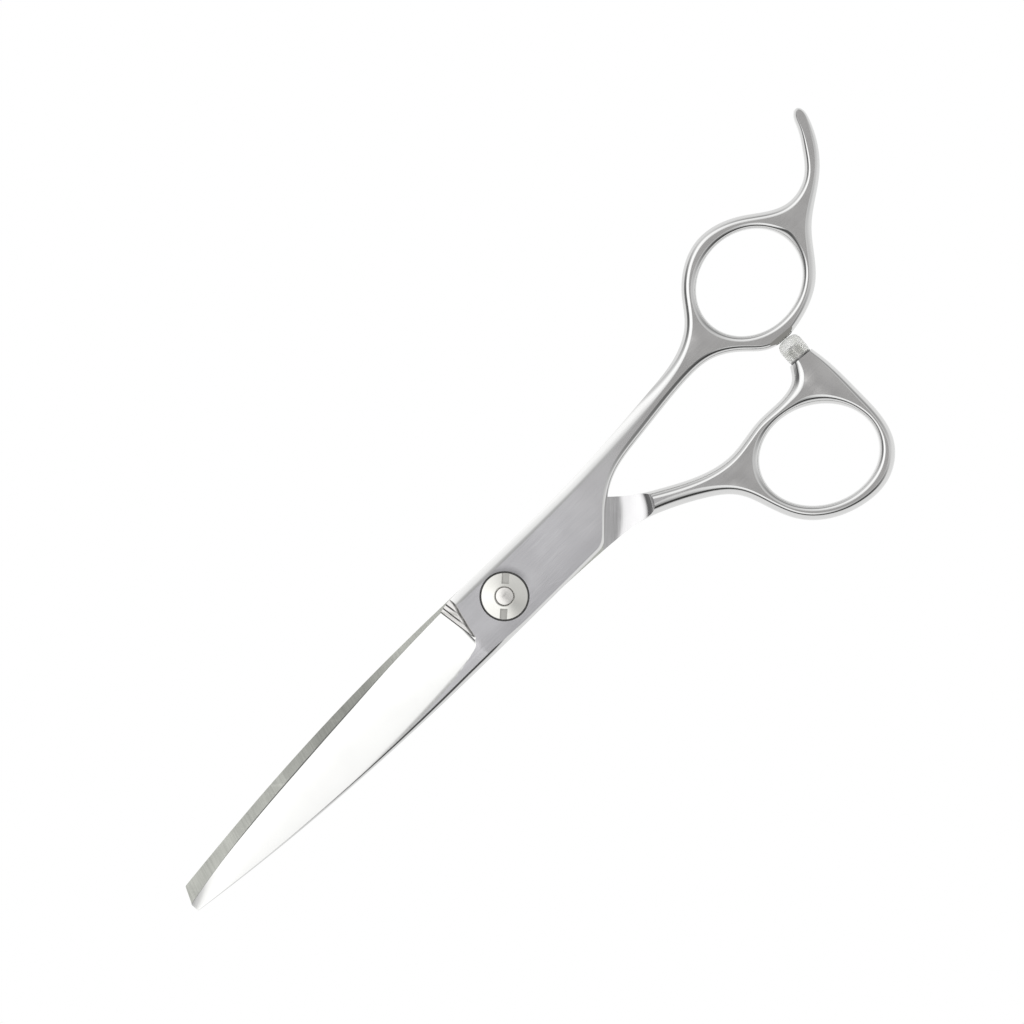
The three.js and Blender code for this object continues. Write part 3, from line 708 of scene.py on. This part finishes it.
boolean(finger, lathe([[(0, 0), (3.05, 0)], [(3.05, 0), (3.05, 4.08)], [(3.05, 4.08), (3.17, 4.2)],
                       [(3.17, 4.2), (4.46, 4.2)], [(4.46, 4.2), (4.46, 5.9)], [(4.46, 5.9), (5.06, 6.5)],
                       [(5.06, 6.5), (5.06, 8)], [(5.06, 8), (0, 8)]], BORE, inside=True).build("bore"))
tilt = math.radians(55)
boolean(finger, plane_tool((69.0, -2.95, 4.55), (-.0919 * math.cos(tilt), -.9958 * math.cos(tilt), math.sin(tilt)), 9.0))

# -------------------------------------------------------------------- thumb half
# Worked out in the finger half's attitude and then turned half a turn about the X axis.
t_spine, t_upper, t_lower, t_edge = (mirrored(spline(n)) for n in ("T_SPINE", "T_UPPER", "T_LOWER", "T_EDGE"))
STOP = np.array([68.92, -7.5, MATE])
STOP_DIR = np.array([0.0924, 0.9957, 0.0])
boss = np.array([STOP_DIR[0], -STOP_DIR[1]])
thumb_loop = outline([t_spine, t_upper, [t_upper[-1] + boss * 5.0], [t_lower[0] + boss * 5.0], t_lower, t_edge])
thumb_keys = [at(t_spine, x) + v for x, v in (
    (-78, (.2, .5, 72, 0)), (-70, (.32, .8, 74, 0)), (-57, (.42, 1.0, 75, 0)), (-45, (.52, 1.15, 75, 0)),
    (-32, (.62, 1.35, 75, 0)), (-20, (.8, 1.5, 75, 0)), (-10, (1.0, 1.5, 72, 0)), (-4.5, (.7, 1.05, 66, .5)),
    (0, (.5, .8, 60, 1)), (17, (.5, .8, 60, 1)))]
thumb_keys += [
    (20.5, -4.9, .6, 1.2, 66, .5), (24, -1.4, .8, 1.6, 72, 0), (28, 2.9, 1.35, 2.0, 80, 0), (35, 6.8, 1.6, 1.8, 84, 0),
    (41, 10, 1.45, 1.6, 82, 0), (48, 11.3, 1.2, 1.5, 82, 0), (55, 9.9, 1.15, 1.5, 82, 0), (61.4, 10.3, 1.5, 2.1, 86, 0),
    (65, 9.2, 2.3, 2.1, 88, 0), (66.42, 7.27, 2.1, 2.1, 88, 0), (66.64, 4.9, .34, 2.1, 70, 0),
    (66.88, 2.3, .3, 2.1, 70, 0), (71.88, 2.75, .3, 2.1, 70, 0), (71.68, 4.9, .34, 2.1, 70, 0),
    (71.42, 7.73, .8, 1.5, 82, 0), (72.2, 13, 1.1, 1.4, 86, 0), (72, 20, 1.25, 1.45, 86, 0), (71.5, 27, 1.3, 1.5, 86, 0),
    (65, 33.7, 1.3, 1.5, 86, 0), (56.5, 34, 1.3, 1.5, 86, 0), (49, 30, 1.3, 1.5, 86, 0), (45.5, 23, 1.3, 1.5, 86, 0),
    (43.2, 17, 1.5, 2.1, 86, 0), (37.8, 12.9, 2.1, 2.1, 87, 0), (32.4, 10, 2.1, 1.95, 87, 0),
    (26.6, 7.8, 1.6, 1.75, 85, 0), (13, 6.4, 1.0, 1.4, 84, 0), (1.5, 6.15, 1.0, 1.3, 86, 0),
    (-7, 5.95, 1.0, 1.3, 86, 0), (-12, 5.3, .1, .5, 60, 0), (-79, -.2, .1, .5, 60, 0)]
thumb_rim = rims(thumb_loop, thumb_keys)
thumb_hole = mirrored(ellipse(58.78, -22.34, 11.16, 9.12, -28.05))
thole_rim = keyed(thumb_hole, [(58.78 + 9.7 * math.cos(math.radians(a)), 22.34 - 9.7 * math.sin(math.radians(a)), w, h, 86, 0)
                               for a, w, h in ((-26, .92, .95), (0, .95, 1.0), (18, 1.3, 1.7), (35, 1.75, 2.1), (60, 1.85, 2.1), (95, 1.35, 1.6), (125, 1.3, 1.2),
                                               (160, 1.3, 1.2), (200, 1.05, 1.1), (250, 1.0, 1.0), (310, 1.05, 1.1))])
thole_rim = fitted(np.asarray(thumb_hole), thole_rim, np.asarray(thumb_loop), thumb_rim)
thumb = blank("thumb", [(thumb_loop, thumb_rim, lower_of(thumb_rim, thumb_loop)), (thumb_hole, thole_rim, thole_rim)])
boolean(thumb, inner_tool(14.9))
boolean(thumb, grind_tool(t_edge, SKEW))
boolean(thumb, lathe([[(0, 0), (2.15, 0)], [(2.15, 0), (2.15, 8)], [(2.15, 8), (0, 8)]], BORE, 96, True).build("bore"))
recess = lathe([[(0, 4.85), (3.9, 4.85)], [(3.9, 4.85), (3.9, 8)], [(3.9, 8), (0, 8)]], BORE, 128, True).build("recess")
boolean(recess, block("flats", (-6, -3.25, 4.0), (6, 3.25, 7.5), BORE, True), "INTERSECT")
boolean(thumb, recess)
boolean(thumb, plane_tool((68.92, 7.5, 3.0), (boss[0], boss[1], 0), 4.5))
stop_bore = lathe([[(0, -4.8), (1.0, -4.8)], [(1.0, -4.8), (1.0, 2)], [(1.0, 2), (0, 2)]], BORE, 48, True).build("stop_bore")
boolean(thumb, moved(stop_bore, axis_along((boss[0], boss[1], 0)), np.array([68.92, 7.5, 3.0])))


def half_turn(co, nrm):
    k = np.array([1.0, -1.0, -1.0])
    return co * k + np.array([0, 0, 2 * MATE]), nrm * k


# -------------------------------------------------------------------- pivot parts
NUT_CROWN = (6.395 - 6.09 - 0.125 * 2.22) / 2.22 ** 2
nut_top = [(r, 6.395 - 0.125 * (r - 1.94) - NUT_CROWN * (r - 1.94) ** 2) for r in np.linspace(4.16, 1.94, 12)]
nut = lathe([
    [(0, 4.98), (4.07, 4.98)], [(4.07, 4.98), (4.22, 5.13)], [(4.22, 5.13), (4.22, 6.03)],
    [(4.22, 6.03)] + [(4.22 - 0.06 * (1 - math.cos(a)), 6.03 + 0.06 * math.sin(a)) for a in np.linspace(0.25, math.pi / 2, 6)],
    nut_top, [nut_top[-1], (1.76, 6.22)], [(1.76, 6.22), (0, 6.22)]], SATIN, 160).build("nut")
boolean(nut, lathe([[(0, 4), (1.76, 4)], [(1.76, 4), (1.76, 7)], [(1.76, 7), (0, 7)]], BORE, 96, True).build("nut_bore"))
for side in (0, 180):
    slot = block("slot", (4.22 - 1.95, -0.675, 6.4 - 0.78), (6.0, 0.675, 7.2), FACET, True)
    boolean(nut, moved(slot, turn_z(42 + side), np.zeros(3)))

stud = lathe([
    [(0, 0), (3.62, 0)], arc(3.62, 0.18, 0.18, -90, 0, 4), [(3.8, 0.18), (3.8, 1.02)], [(3.8, 1.02), (3.72, 1.1)],
    [(3.72, 1.1), (2.1, 1.1)], [(2.1, 1.1), (2.1, 4.05)], [(2.1, 4.05), (2.0, 4.15)], [(2.0, 4.15), (1.65, 4.15)],
    [(1.65, 4.15), (1.65, 6.1)],
    [(1.65 - 0.16 * (1 - math.cos(a)), 6.1 + 0.16 * math.sin(a)) for a in np.linspace(0, math.pi / 2, 6)]
    + [(r, 6.26 + 0.15 * (1 - (r / 1.49) ** 2)) for r in np.linspace(1.38, 0, 9)]], SATIN, 96).build("stud")
keep = block("keep", (-6, -3.15, -1), (6, 3.15, 8), FACET)
boolean(stud, keep, "INTERSECT")


# ------------------------------------------------------------------- stopper parts
bumper = lathe([
    [(0, 2.85)] + [(1.3 * math.sin(a), 2.0 + 0.85 * math.cos(a)) for a in np.linspace(0.25, math.pi / 2, 7)],
    [(1.3, 2.0), (1.3, 0.34)], [(1.3, 0.34), (1.36, 0.32), (2.08, 0.32)],
    [(2.08, 0.32), (2.16, 0.35), (2.22, 0.42), (2.25, 0.6), (2.28, 1.2), (2.3, 1.9), (2.3, 2.6), (2.26, 3.15),
     (2.13, 3.6), (1.88, 3.98), (1.5, 4.22), (1.0, 4.35), (0.4, 4.4), (0, 4.4)]], SATIN, 72).build("bumper")
moved(bumper, axis_along(STOP_DIR), STOP)
thread = [(0.7, -4.4), (0.93, -4.15)]
z = -4.1
while z < -0.2:
    thread += [(0.95, z), (0.84, z + 0.13)]
    z += 0.26
thread += [(0.95, 0.02)]
stem = [[thread[i], thread[i + 1]] for i in range(len(thread) - 1)]
# The flange under the bumper takes the dark bored material: a ring painted as the shade at the bumper's foot.
insert = lathe([[(0, -4.4), (0.7, -4.4)]] + stem + [
    [(0.95, 0.02), (2.16, 0.02)], [(2.16, 0.02), (2.2, 0.06), (2.2, 0.26), (2.16, 0.30)], [(2.16, 0.30), (1.2, 0.30)],
    [(1.2, 0.30), (1.2, 2.1)],
    [(1.2 * math.cos(a), 2.1 + 0.6 * math.sin(a)) for a in np.linspace(0, math.pi / 2, 8)]],
    [SATIN] * (len(stem) + 1) + [BORE] * 3 + [SATIN] * 2, 48).build("insert")
moved(insert, axis_along(STOP_DIR), STOP)


# ---------------------------------------------------------------------- materials
class Nodes:
    """A short hand for making node trees."""

    def __init__(self, tree):
        self.tree = tree
        tree.nodes.clear()

    def add(self, kind, **values):
        node = self.tree.nodes.new(kind)
        for key, value in values.items():
            if key.startswith("in_"):
                self.put(value, node.inputs[int(key[3:])] if key[3:].isdigit() else node.inputs[key[3:].replace("_", " ")])
            else:
                setattr(node, key, value)
        return node

    def put(self, value, socket):
        if isinstance(value, bpy.types.NodeSocket):
            self.tree.links.new(value, socket)
        elif isinstance(value, bpy.types.Node):
            self.tree.links.new(value.outputs[0], socket)
        else:
            socket.default_value = value

    def math(self, op, a, b=0.0, c=None, clamp=False):
        node = self.add("ShaderNodeMath", operation=op, use_clamp=clamp)
        self.put(a, node.inputs[0])
        self.put(b, node.inputs[1])
        if c is not None:
            self.put(c, node.inputs[2])
        return node.outputs[0]

    def scale(self, value, a0, a1, b0, b1, kind="LINEAR"):
        node = self.add("ShaderNodeMapRange", interpolation_type=kind)
        self.put(value, node.inputs[0])
        for i, x in enumerate((a0, a1, b0, b1)):
            node.inputs[i + 1].default_value = x
        return node.outputs[0]

    def noise(self, vector, scale=1.0, detail=3.0, rough=0.55):
        node = self.add("ShaderNodeTexNoise")
        self.put(vector, node.inputs["Vector"])
        node.inputs["Scale"].default_value = scale
        node.inputs["Detail"].default_value = detail
        node.inputs["Roughness"].default_value = rough
        return node.outputs[0]

    def stretched(self, scale, turn=0.0):
        """Object coordinates, turned about Z and scaled per axis, per metre."""
        co = self.add("ShaderNodeTexCoord").outputs["Object"]
        turned = self.add("ShaderNodeMapping")
        self.put(co, turned.inputs["Vector"])
        turned.inputs["Rotation"].default_value = (0, 0, math.radians(turn))
        sized = self.add("ShaderNodeMapping")
        self.put(turned.outputs[0], sized.inputs["Vector"])
        sized.inputs["Scale"].default_value = scale
        return sized.outputs[0]

    def polar(self, radial, round_):
        """Object coordinates as rings about the Z axis."""
        co = self.add("ShaderNodeTexCoord").outputs["Object"]
        parts = self.add("ShaderNodeSeparateXYZ")
        self.put(co, parts.inputs[0])
        r = self.math("SQRT", self.math("ADD", self.math("POWER", parts.outputs[0], 2.0), self.math("POWER", parts.outputs[1], 2.0)))
        a = self.math("ARCTAN2", parts.outputs[1], parts.outputs[0])
        made = self.add("ShaderNodeCombineXYZ")
        self.put(self.math("MULTIPLY", r, radial), made.inputs[0])
        self.put(self.math("MULTIPLY", a, round_), made.inputs[1])
        self.put(self.math("MULTIPLY", parts.outputs[2], radial), made.inputs[2])
        return made.outputs[0]


def steel(name, colour, rough, spread, grain, depth, turn=0.0, rings=None, strength=0.25, mottle=0.03, aniso=0.0, fade=None, painted_shading=False):
    """Steel with a lay of fine lines: grain is their scale per axis, depth their height in metres."""
    m = bpy.data.materials.new(name)
    m.use_nodes = True
    n = Nodes(m.node_tree)
    lines = n.noise(n.polar(*rings) if rings else n.stretched(grain, turn), 1.0, 3.0, 0.6)
    broad = n.noise(n.stretched((160, 160, 160)), 1.0, 2.0)
    marks = n.noise(n.stretched((90, 1500, 900), turn + 24), 1.0, 2.0, 0.5)
    scratch = n.scale(marks, 0.66, 0.74, 0.0, 1.0, "SMOOTHSTEP")
    r = n.scale(lines, 0.3, 0.7, rough - spread, rough + spread)
    r = n.math("ADD", r, n.scale(broad, 0.35, 0.65, -spread * 0.6, spread * 0.6))
    r = n.math("MULTIPLY_ADD", scratch, 0.04, r, clamp=True)
    tone = n.math("ADD", n.scale(lines, 0.25, 0.75, 1 - mottle, 1 + mottle), n.scale(broad, 0.3, 0.7, -mottle, mottle))
    if fade:
        parts = n.add("ShaderNodeSeparateXYZ")
        n.put(n.add("ShaderNodeTexCoord").outputs["Object"], parts.inputs[0])
        tone = n.math("MULTIPLY", tone, n.scale(parts.outputs[0], fade[0], fade[1], 1.0, fade[2], "SMOOTHSTEP"))
        # Painted shade: the satin is darkened by up to 0.42 in a ring next to the pivot that fades out by 6 mm from the
        # axis, only on its +X+Y side.
        x, y = parts.outputs[0], parts.outputs[1]
        reach = n.math("SQRT", n.math("ADD", n.math("POWER", x, 2.0), n.math("POWER", y, 2.0)))
        toward = n.math("DIVIDE", n.math("MULTIPLY", n.math("ADD", x, y), 0.7071), reach)
        painted_nut_shade = n.math("MULTIPLY", n.scale(reach, 0.0043, 0.0060, 1.0, 0.0, "SMOOTHSTEP"), n.scale(toward, 0.35, 0.95, 0.0, 1.0, "SMOOTHSTEP"))
        tone = n.math("MULTIPLY", tone, n.math("SUBTRACT", 1.0, n.math("MULTIPLY", painted_nut_shade, 0.42)))
    # Painted shading along the lapped strip: up to 1.5 times as bright toward the pivot (x from -31 to -19 mm), 1.42
    # times toward the tip (x from -41 to -53 mm), plain in between.
    if painted_shading:
        parts = n.add("ShaderNodeSeparateXYZ")
        n.put(n.add("ShaderNodeTexCoord").outputs["Object"], parts.inputs[0])
        near = n.scale(parts.outputs[0], -0.031, -0.019, 1.0, 1.5, "SMOOTHSTEP")
        tone = n.math("MULTIPLY", tone, n.math("ADD", near, n.scale(parts.outputs[0], -0.053, -0.041, 0.42, 0.0, "SMOOTHSTEP")))
    mix = n.add("ShaderNodeVectorMath", operation="SCALE")
    mix.inputs[0].default_value = colour
    n.put(tone, mix.inputs["Scale"])
    if fade:
        # Painted shade: toward the spine side (Y from -1 down to -6.2 mm) the satin is darkened to 0.86, except past x
        # = 12 to 26 mm on the handle.
        edge = n.scale(parts.outputs[1], -0.0062, -0.001, 0.86, 1.0, "SMOOTHSTEP")
        away = n.scale(parts.outputs[0], 0.012, 0.026, 0.0, 1.0, "SMOOTHSTEP")
        n.put(n.math("MULTIPLY", tone, n.math("MAXIMUM", edge, away)), mix.inputs["Scale"])
        warm = n.add("ShaderNodeMix", data_type="RGBA")
        n.put(n.scale(parts.outputs[0], fade[0], fade[1], 0.0, 1.0), warm.inputs[0])
        warm.inputs[6].default_value = (*colour, 1)
        warm.inputs[7].default_value = (*[c * k for c, k in zip(colour, fade[3])], 1)
        n.put(warm.outputs[2], mix.inputs[0])
    bump = n.add("ShaderNodeBump")
    bump.inputs["Strength"].default_value = strength
    bump.inputs["Distance"].default_value = depth
    n.put(lines, bump.inputs["Height"])
    shade = n.add("ShaderNodeBsdfPrincipled")
    n.put(mix.outputs[0], shade.inputs["Base Color"])
    shade.inputs["Metallic"].default_value = 1.0
    n.put(r, shade.inputs["Roughness"])
    n.put(bump.outputs[0], shade.inputs["Normal"])
    if aniso:
        shade.inputs["Anisotropic"].default_value = aniso
        tangent = n.add("ShaderNodeTangent", direction_type="RADIAL", axis="Z")
        n.put(tangent.outputs[0], shade.inputs["Tangent"])
    out = n.add("ShaderNodeOutputMaterial")
    n.put(shade.outputs[0], out.inputs[0])
    m.diffuse_color = (*colour, 1)
    return m


def polymer(name, colour, rough, see_through=0.0, depth=0.00002):
    m = bpy.data.materials.new(name)
    m.use_nodes = True
    n = Nodes(m.node_tree)
    fine = n.noise(n.stretched((5200, 5200, 5200)), 1.0, 3.0)
    cloud = n.noise(n.stretched((620, 620, 620)), 1.0, 3.0)
    mix = n.add("ShaderNodeMix", data_type="RGBA")
    n.put(n.scale(cloud, 0.35, 0.65, 0.0, 1.0), mix.inputs[0])
    mix.inputs[6].default_value = (*[c * 0.82 for c in colour], 1)
    mix.inputs[7].default_value = (*[min(1.0, c * 1.08) for c in colour], 1)
    bump = n.add("ShaderNodeBump")
    bump.inputs["Strength"].default_value = 0.14
    bump.inputs["Distance"].default_value = depth
    n.put(fine, bump.inputs["Height"])
    shade = n.add("ShaderNodeBsdfPrincipled")
    n.put(mix.outputs[2], shade.inputs["Base Color"])
    n.put(n.scale(cloud, 0.3, 0.7, rough - 0.05, rough + 0.07), shade.inputs["Roughness"])
    shade.inputs["IOR"].default_value = 1.41
    shade.inputs["Transmission Weight"].default_value = see_through
    shade.inputs["Subsurface Weight"].default_value = 0.0 if see_through else 0.2
    shade.inputs["Subsurface Radius"].default_value = (0.001, 0.001, 0.0008)
    n.put(bump.outputs[0], shade.inputs["Normal"])
    out = n.add("ShaderNodeOutputMaterial")
    n.put(shade.outputs[0], out.inputs[0])
    m.diffuse_color = (*colour, 1)
    return m


satin = steel("satin_flat", (0.74, 0.733, 0.755), 0.20, 0.025, (150, 4200, 4200), 2e-6, 0, strength=0.08, mottle=0.008,
              fade=(0.016, 0.046, 0.72, (1.0, 0.995, 0.955)))
polished = steel("polished_rim", (0.68, 0.68, 0.675), 0.10, 0.02, (240, 2600, 2600), 2e-6, 0, strength=0.10, mottle=0.012)
ground = steel("ground_blade", (0.72, 0.72, 0.71), 0.13, 0.03, (5200, 130, 4200), 3e-6, 0, strength=0.2, mottle=0.015)
lapped = steel("lapped_inner", (0.455, 0.462, 0.428), 0.20, 0.04, (5200, 150, 4200), 4e-6, 18, strength=0.3, painted_shading=True)
brushed = steel("brushed_scoop", (0.66, 0.655, 0.66), 0.13, 0.04, (5600, 120, 1200), 7e-6, 45, strength=0.35, mottle=0.06)
# Dark steel: painted shade for the bores, counterbores and recesses, and for the bumper insert's flange.
bored_painted_shade = steel("bored_painted_shade", (0.22, 0.22, 0.22), 0.35, 0.05, None, 4e-6, rings=(5200, 1.0))
# The cut facets are painted dark: painted shade where the bumper shades the seat.
facet = steel("cut_facet_painted_shade", (0.30, 0.295, 0.28), 0.13, 0.03, (260, 4200, 4200), 4e-6, 8)
# The honed bevel along the cutting edge is real geometry; its near-black colour is a painted shadow along the edge.
honed = steel("honed_edge_painted_shadow", (0.20, 0.20, 0.195), 0.35, 0.05, (260, 4200, 4200), 4e-6, 8)
buffed = steel("buffed_ramp", (0.86, 0.845, 0.83), 0.09, 0.02, (2600, 200, 2600), 2e-6, 0, strength=0.1, mottle=0.01)
# The eased step's dark colour is painted shade where the run-out ramp rolls over into the face.
eased = steel("eased_step_painted_shade", (0.43, 0.42, 0.41), 0.24, 0.03, (260, 3200, 3200), 3e-6, 0, strength=0.1)
half_finish = [satin, polished, polished, ground, buffed, lapped, brushed, bored_painted_shade, facet, honed, eased]
nut_steel = steel("turned_nut", (0.74, 0.735, 0.70), 0.12, 0.03, None, 4e-6, rings=(6200, 0.8), strength=0.3, mottle=0.03)
milled = steel("milled_slot", (0.52, 0.515, 0.49), 0.35, 0.06, (3200, 240, 2400), 8e-6, 42, strength=0.5, mottle=0.06)
nut_finish = [nut_steel] * 7 + [bored_painted_shade, milled, milled]
stud_steel = steel("stud_steel", (0.76, 0.745, 0.72), 0.24, 0.05, (2500, 2500, 2500), 6e-6, strength=0.4, mottle=0.05)
spring_steel = steel("spring_steel", (0.5, 0.5, 0.49), 0.3, 0.06, None, 6e-6, rings=(3800, 0.8), strength=0.4)
nylon = polymer("nylon", (0.80, 0.79, 0.74), 0.5)
bushing = polymer("bushing_polymer", (0.76, 0.74, 0.68), 0.5)
silicone = polymer("silicone", (0.96, 0.97, 0.92), 0.22, 0.66, 0.00003)

# ------------------------------------------------------------------------- pieces
pieces = [
    (finish_mesh(finger, "finger_half_forged", half_finish), "finger", "finger_half", "blade_steel"),
    (finish_mesh(thumb, "thumb_half_forged", half_finish, half_turn), "thumb", "thumb_half", "blade_steel"),
    (finish_mesh(nut, "tension_nut_turned", nut_finish), "nut", "tension_nut", "nut_steel"),
    (finish_mesh(stud, "pivot_stud_turned", [stud_steel]), "thumb", "pivot_stud", "pivot_steel"),
    (finish_mesh(bumper, "bumper_moulded", [silicone]), "thumb", "bumper", "silicone"),
    (finish_mesh(insert, "bumper_stud_turned", [stud_steel] * 7 + [bored_painted_shade, stud_steel]), "thumb", "bumper_stud", "pivot_steel"),
]
for ob, body, node, slot in pieces:
    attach(ob, body)
    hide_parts(node)
for node, look in (("click_washer", spring_steel), ("nylon_washer", nylon), ("pivot_bushing", bushing)):
    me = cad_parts[node].data
    me.materials.clear()
    me.materials.append(look)

# -------------------------------------------------------------------------- stage
floor_mesh = bpy.data.meshes.new("floor")
floor_mesh.from_pydata([(-1.6, -1.6, -0.0002), (1.6, -1.6, -0.0002), (1.6, 1.6, -0.0002), (-1.6, 1.6, -0.0002)], [], [(0, 1, 2, 3)])
floor = bpy.data.objects.new("floor", floor_mesh)
scene.collection.objects.link(floor)
pale = bpy.data.materials.new("pale_floor")
pale.use_nodes = True
n = Nodes(pale.node_tree)
lit = n.add("ShaderNodeEmission")
lit.inputs[0].default_value = (1, 1, 1, 1)
lit.inputs[1].default_value = 1.0
n.put(lit.outputs[0], n.add("ShaderNodeOutputMaterial").inputs[0])
floor_mesh.materials.append(pale)

# A soft studio. Each of eight directions round the shears has its own run of brightness from the zenith down.
world = bpy.data.worlds.new("studio")
scene.world = world
world.use_nodes = True
n = Nodes(world.node_tree)
d = n.add("ShaderNodeSeparateXYZ")
n.put(n.add("ShaderNodeTexCoord").outputs["Generated"], d.inputs[0])
zenith = n.math("MULTIPLY", n.math("ARCCOSINE", n.math("MINIMUM", n.math("MAXIMUM", d.outputs[2], -1.0), 1.0)), 1 / math.pi)
flat = n.math("SQRT", n.math("ADD", n.math("ADD", n.math("POWER", d.outputs[0], 2.0), n.math("POWER", d.outputs[1], 2.0)), 1e-7))
TOP = 0.55
SKY = {
    0: [(0, TOP), (8, .62), (18, .80), (30, .66), (44, .36), (62, .36), (76, .50), (88, .85), (104, 1.0)],
    45: [(0, TOP), (8, .62), (16, .84), (30, 1.15), (42, 1.3), (52, .5), (62, .24), (72, .7), (86, .95), (104, 1.0)],
    90: [(0, TOP), (7, .62), (13, 1.15), (22, 1.3), (28, 1.45), (48, 1.45), (58, 1.15), (68, .92), (78, .88), (90, 1.0), (104, 1.1)],
    135: [(0, TOP), (4, .46), (7, .42), (10, 1.45), (36, 1.6), (43, 1.3), (48, .8), (52, .06), (81, .08), (90, 1.1), (104, 1.15)],
    180: [(0, TOP), (4, .62), (7, .78), (11, 1.35), (28, 1.35), (36, .6), (43, .10), (58, .14), (66, .92), (80, 1.05), (104, 1.1)],
    225: [(0, TOP), (4, .40), (7, .40), (11, 1.25), (32, 1.3), (40, 1.0), (46, .08), (61, .08), (69, .95), (86, 1.0), (104, 1.05)],
    270: [(0, TOP), (8, .56), (20, .62), (26, .45), (31, .03), (60, .02), (66, .40), (72, .90), (80, 1.0), (104, 1.0)],
    315: [(0, TOP), (10, .72), (25, .80), (40, .84), (55, .95), (75, .98), (104, 1.0)],
}
total, share = None, None
for turn, stops in SKY.items():
    a = math.radians(turn)
    along = n.math("ADD", n.math("MULTIPLY", d.outputs[0], math.cos(a)), n.math("MULTIPLY", d.outputs[1], math.sin(a)))
    weight = n.math("POWER", n.math("MAXIMUM", n.math("DIVIDE", along, flat), 0.0), 7.0)
    ramp = n.add("ShaderNodeValToRGB")
    ramp.color_ramp.interpolation = "EASE"
    els = ramp.color_ramp.elements
    while len(els) > 1:
        els.remove(els[0])
    els[0].position = 0
    els[0].color = (stops[0][1] / 3,) * 3 + (1,)
    for angle, value in stops[1:]:
        e = els.new(angle / 180)
        e.color = (value / 3,) * 3 + (1,)
    n.put(zenith, ramp.inputs[0])
    part = n.math("MULTIPLY", ramp.outputs[0], weight)
    total = part if total is None else n.math("ADD", total, part)
    share = weight if share is None else n.math("ADD", share, weight)
near_top = n.scale(zenith, 0.0, 2.0 / 180, 1.0, 0.0)
light = n.math("MULTIPLY", n.math("DIVIDE", total, n.math("MAXIMUM", share, 1e-4)), 3.0)
light = n.math("ADD", n.math("MULTIPLY", near_top, TOP), n.math("MULTIPLY", n.math("SUBTRACT", 1.0, near_top), light))
studio = n.add("ShaderNodeBackground")
n.put(light, studio.inputs["Strength"])
studio.inputs[0].default_value = (1, 1, 1, 1)
seen = n.add("ShaderNodeBackground")
seen.inputs[0].default_value = (1, 1, 1, 1)
seen.inputs["Strength"].default_value = 1.0
path = n.add("ShaderNodeLightPath")
pick = n.add("ShaderNodeMixShader")
n.put(path.outputs["Is Camera Ray"], pick.inputs[0])
n.put(studio.outputs[0], pick.inputs[1])
n.put(seen.outputs[0], pick.inputs[2])
n.put(pick.outputs[0], n.add("ShaderNodeOutputWorld").inputs[0])

# The camera looks straight down, turned so that the shears' length runs up to the right.
cam = bpy.data.cameras.new("camera")
cam.lens, cam.sensor_width = 200, 36
cam.clip_start, cam.clip_end = 0.01, 20
eye = bpy.data.objects.new("camera", cam)
scene.collection.objects.link(eye)
eye.location = (11.79 * MM, 9.86 * MM, (MATE + 186.6 * 200 / 36) * MM)
eye.rotation_euler = (0, 0, -math.pi / 4)
scene.camera = eye
scene.view_settings.view_transform = "Standard"
scene.view_settings.look = "None"
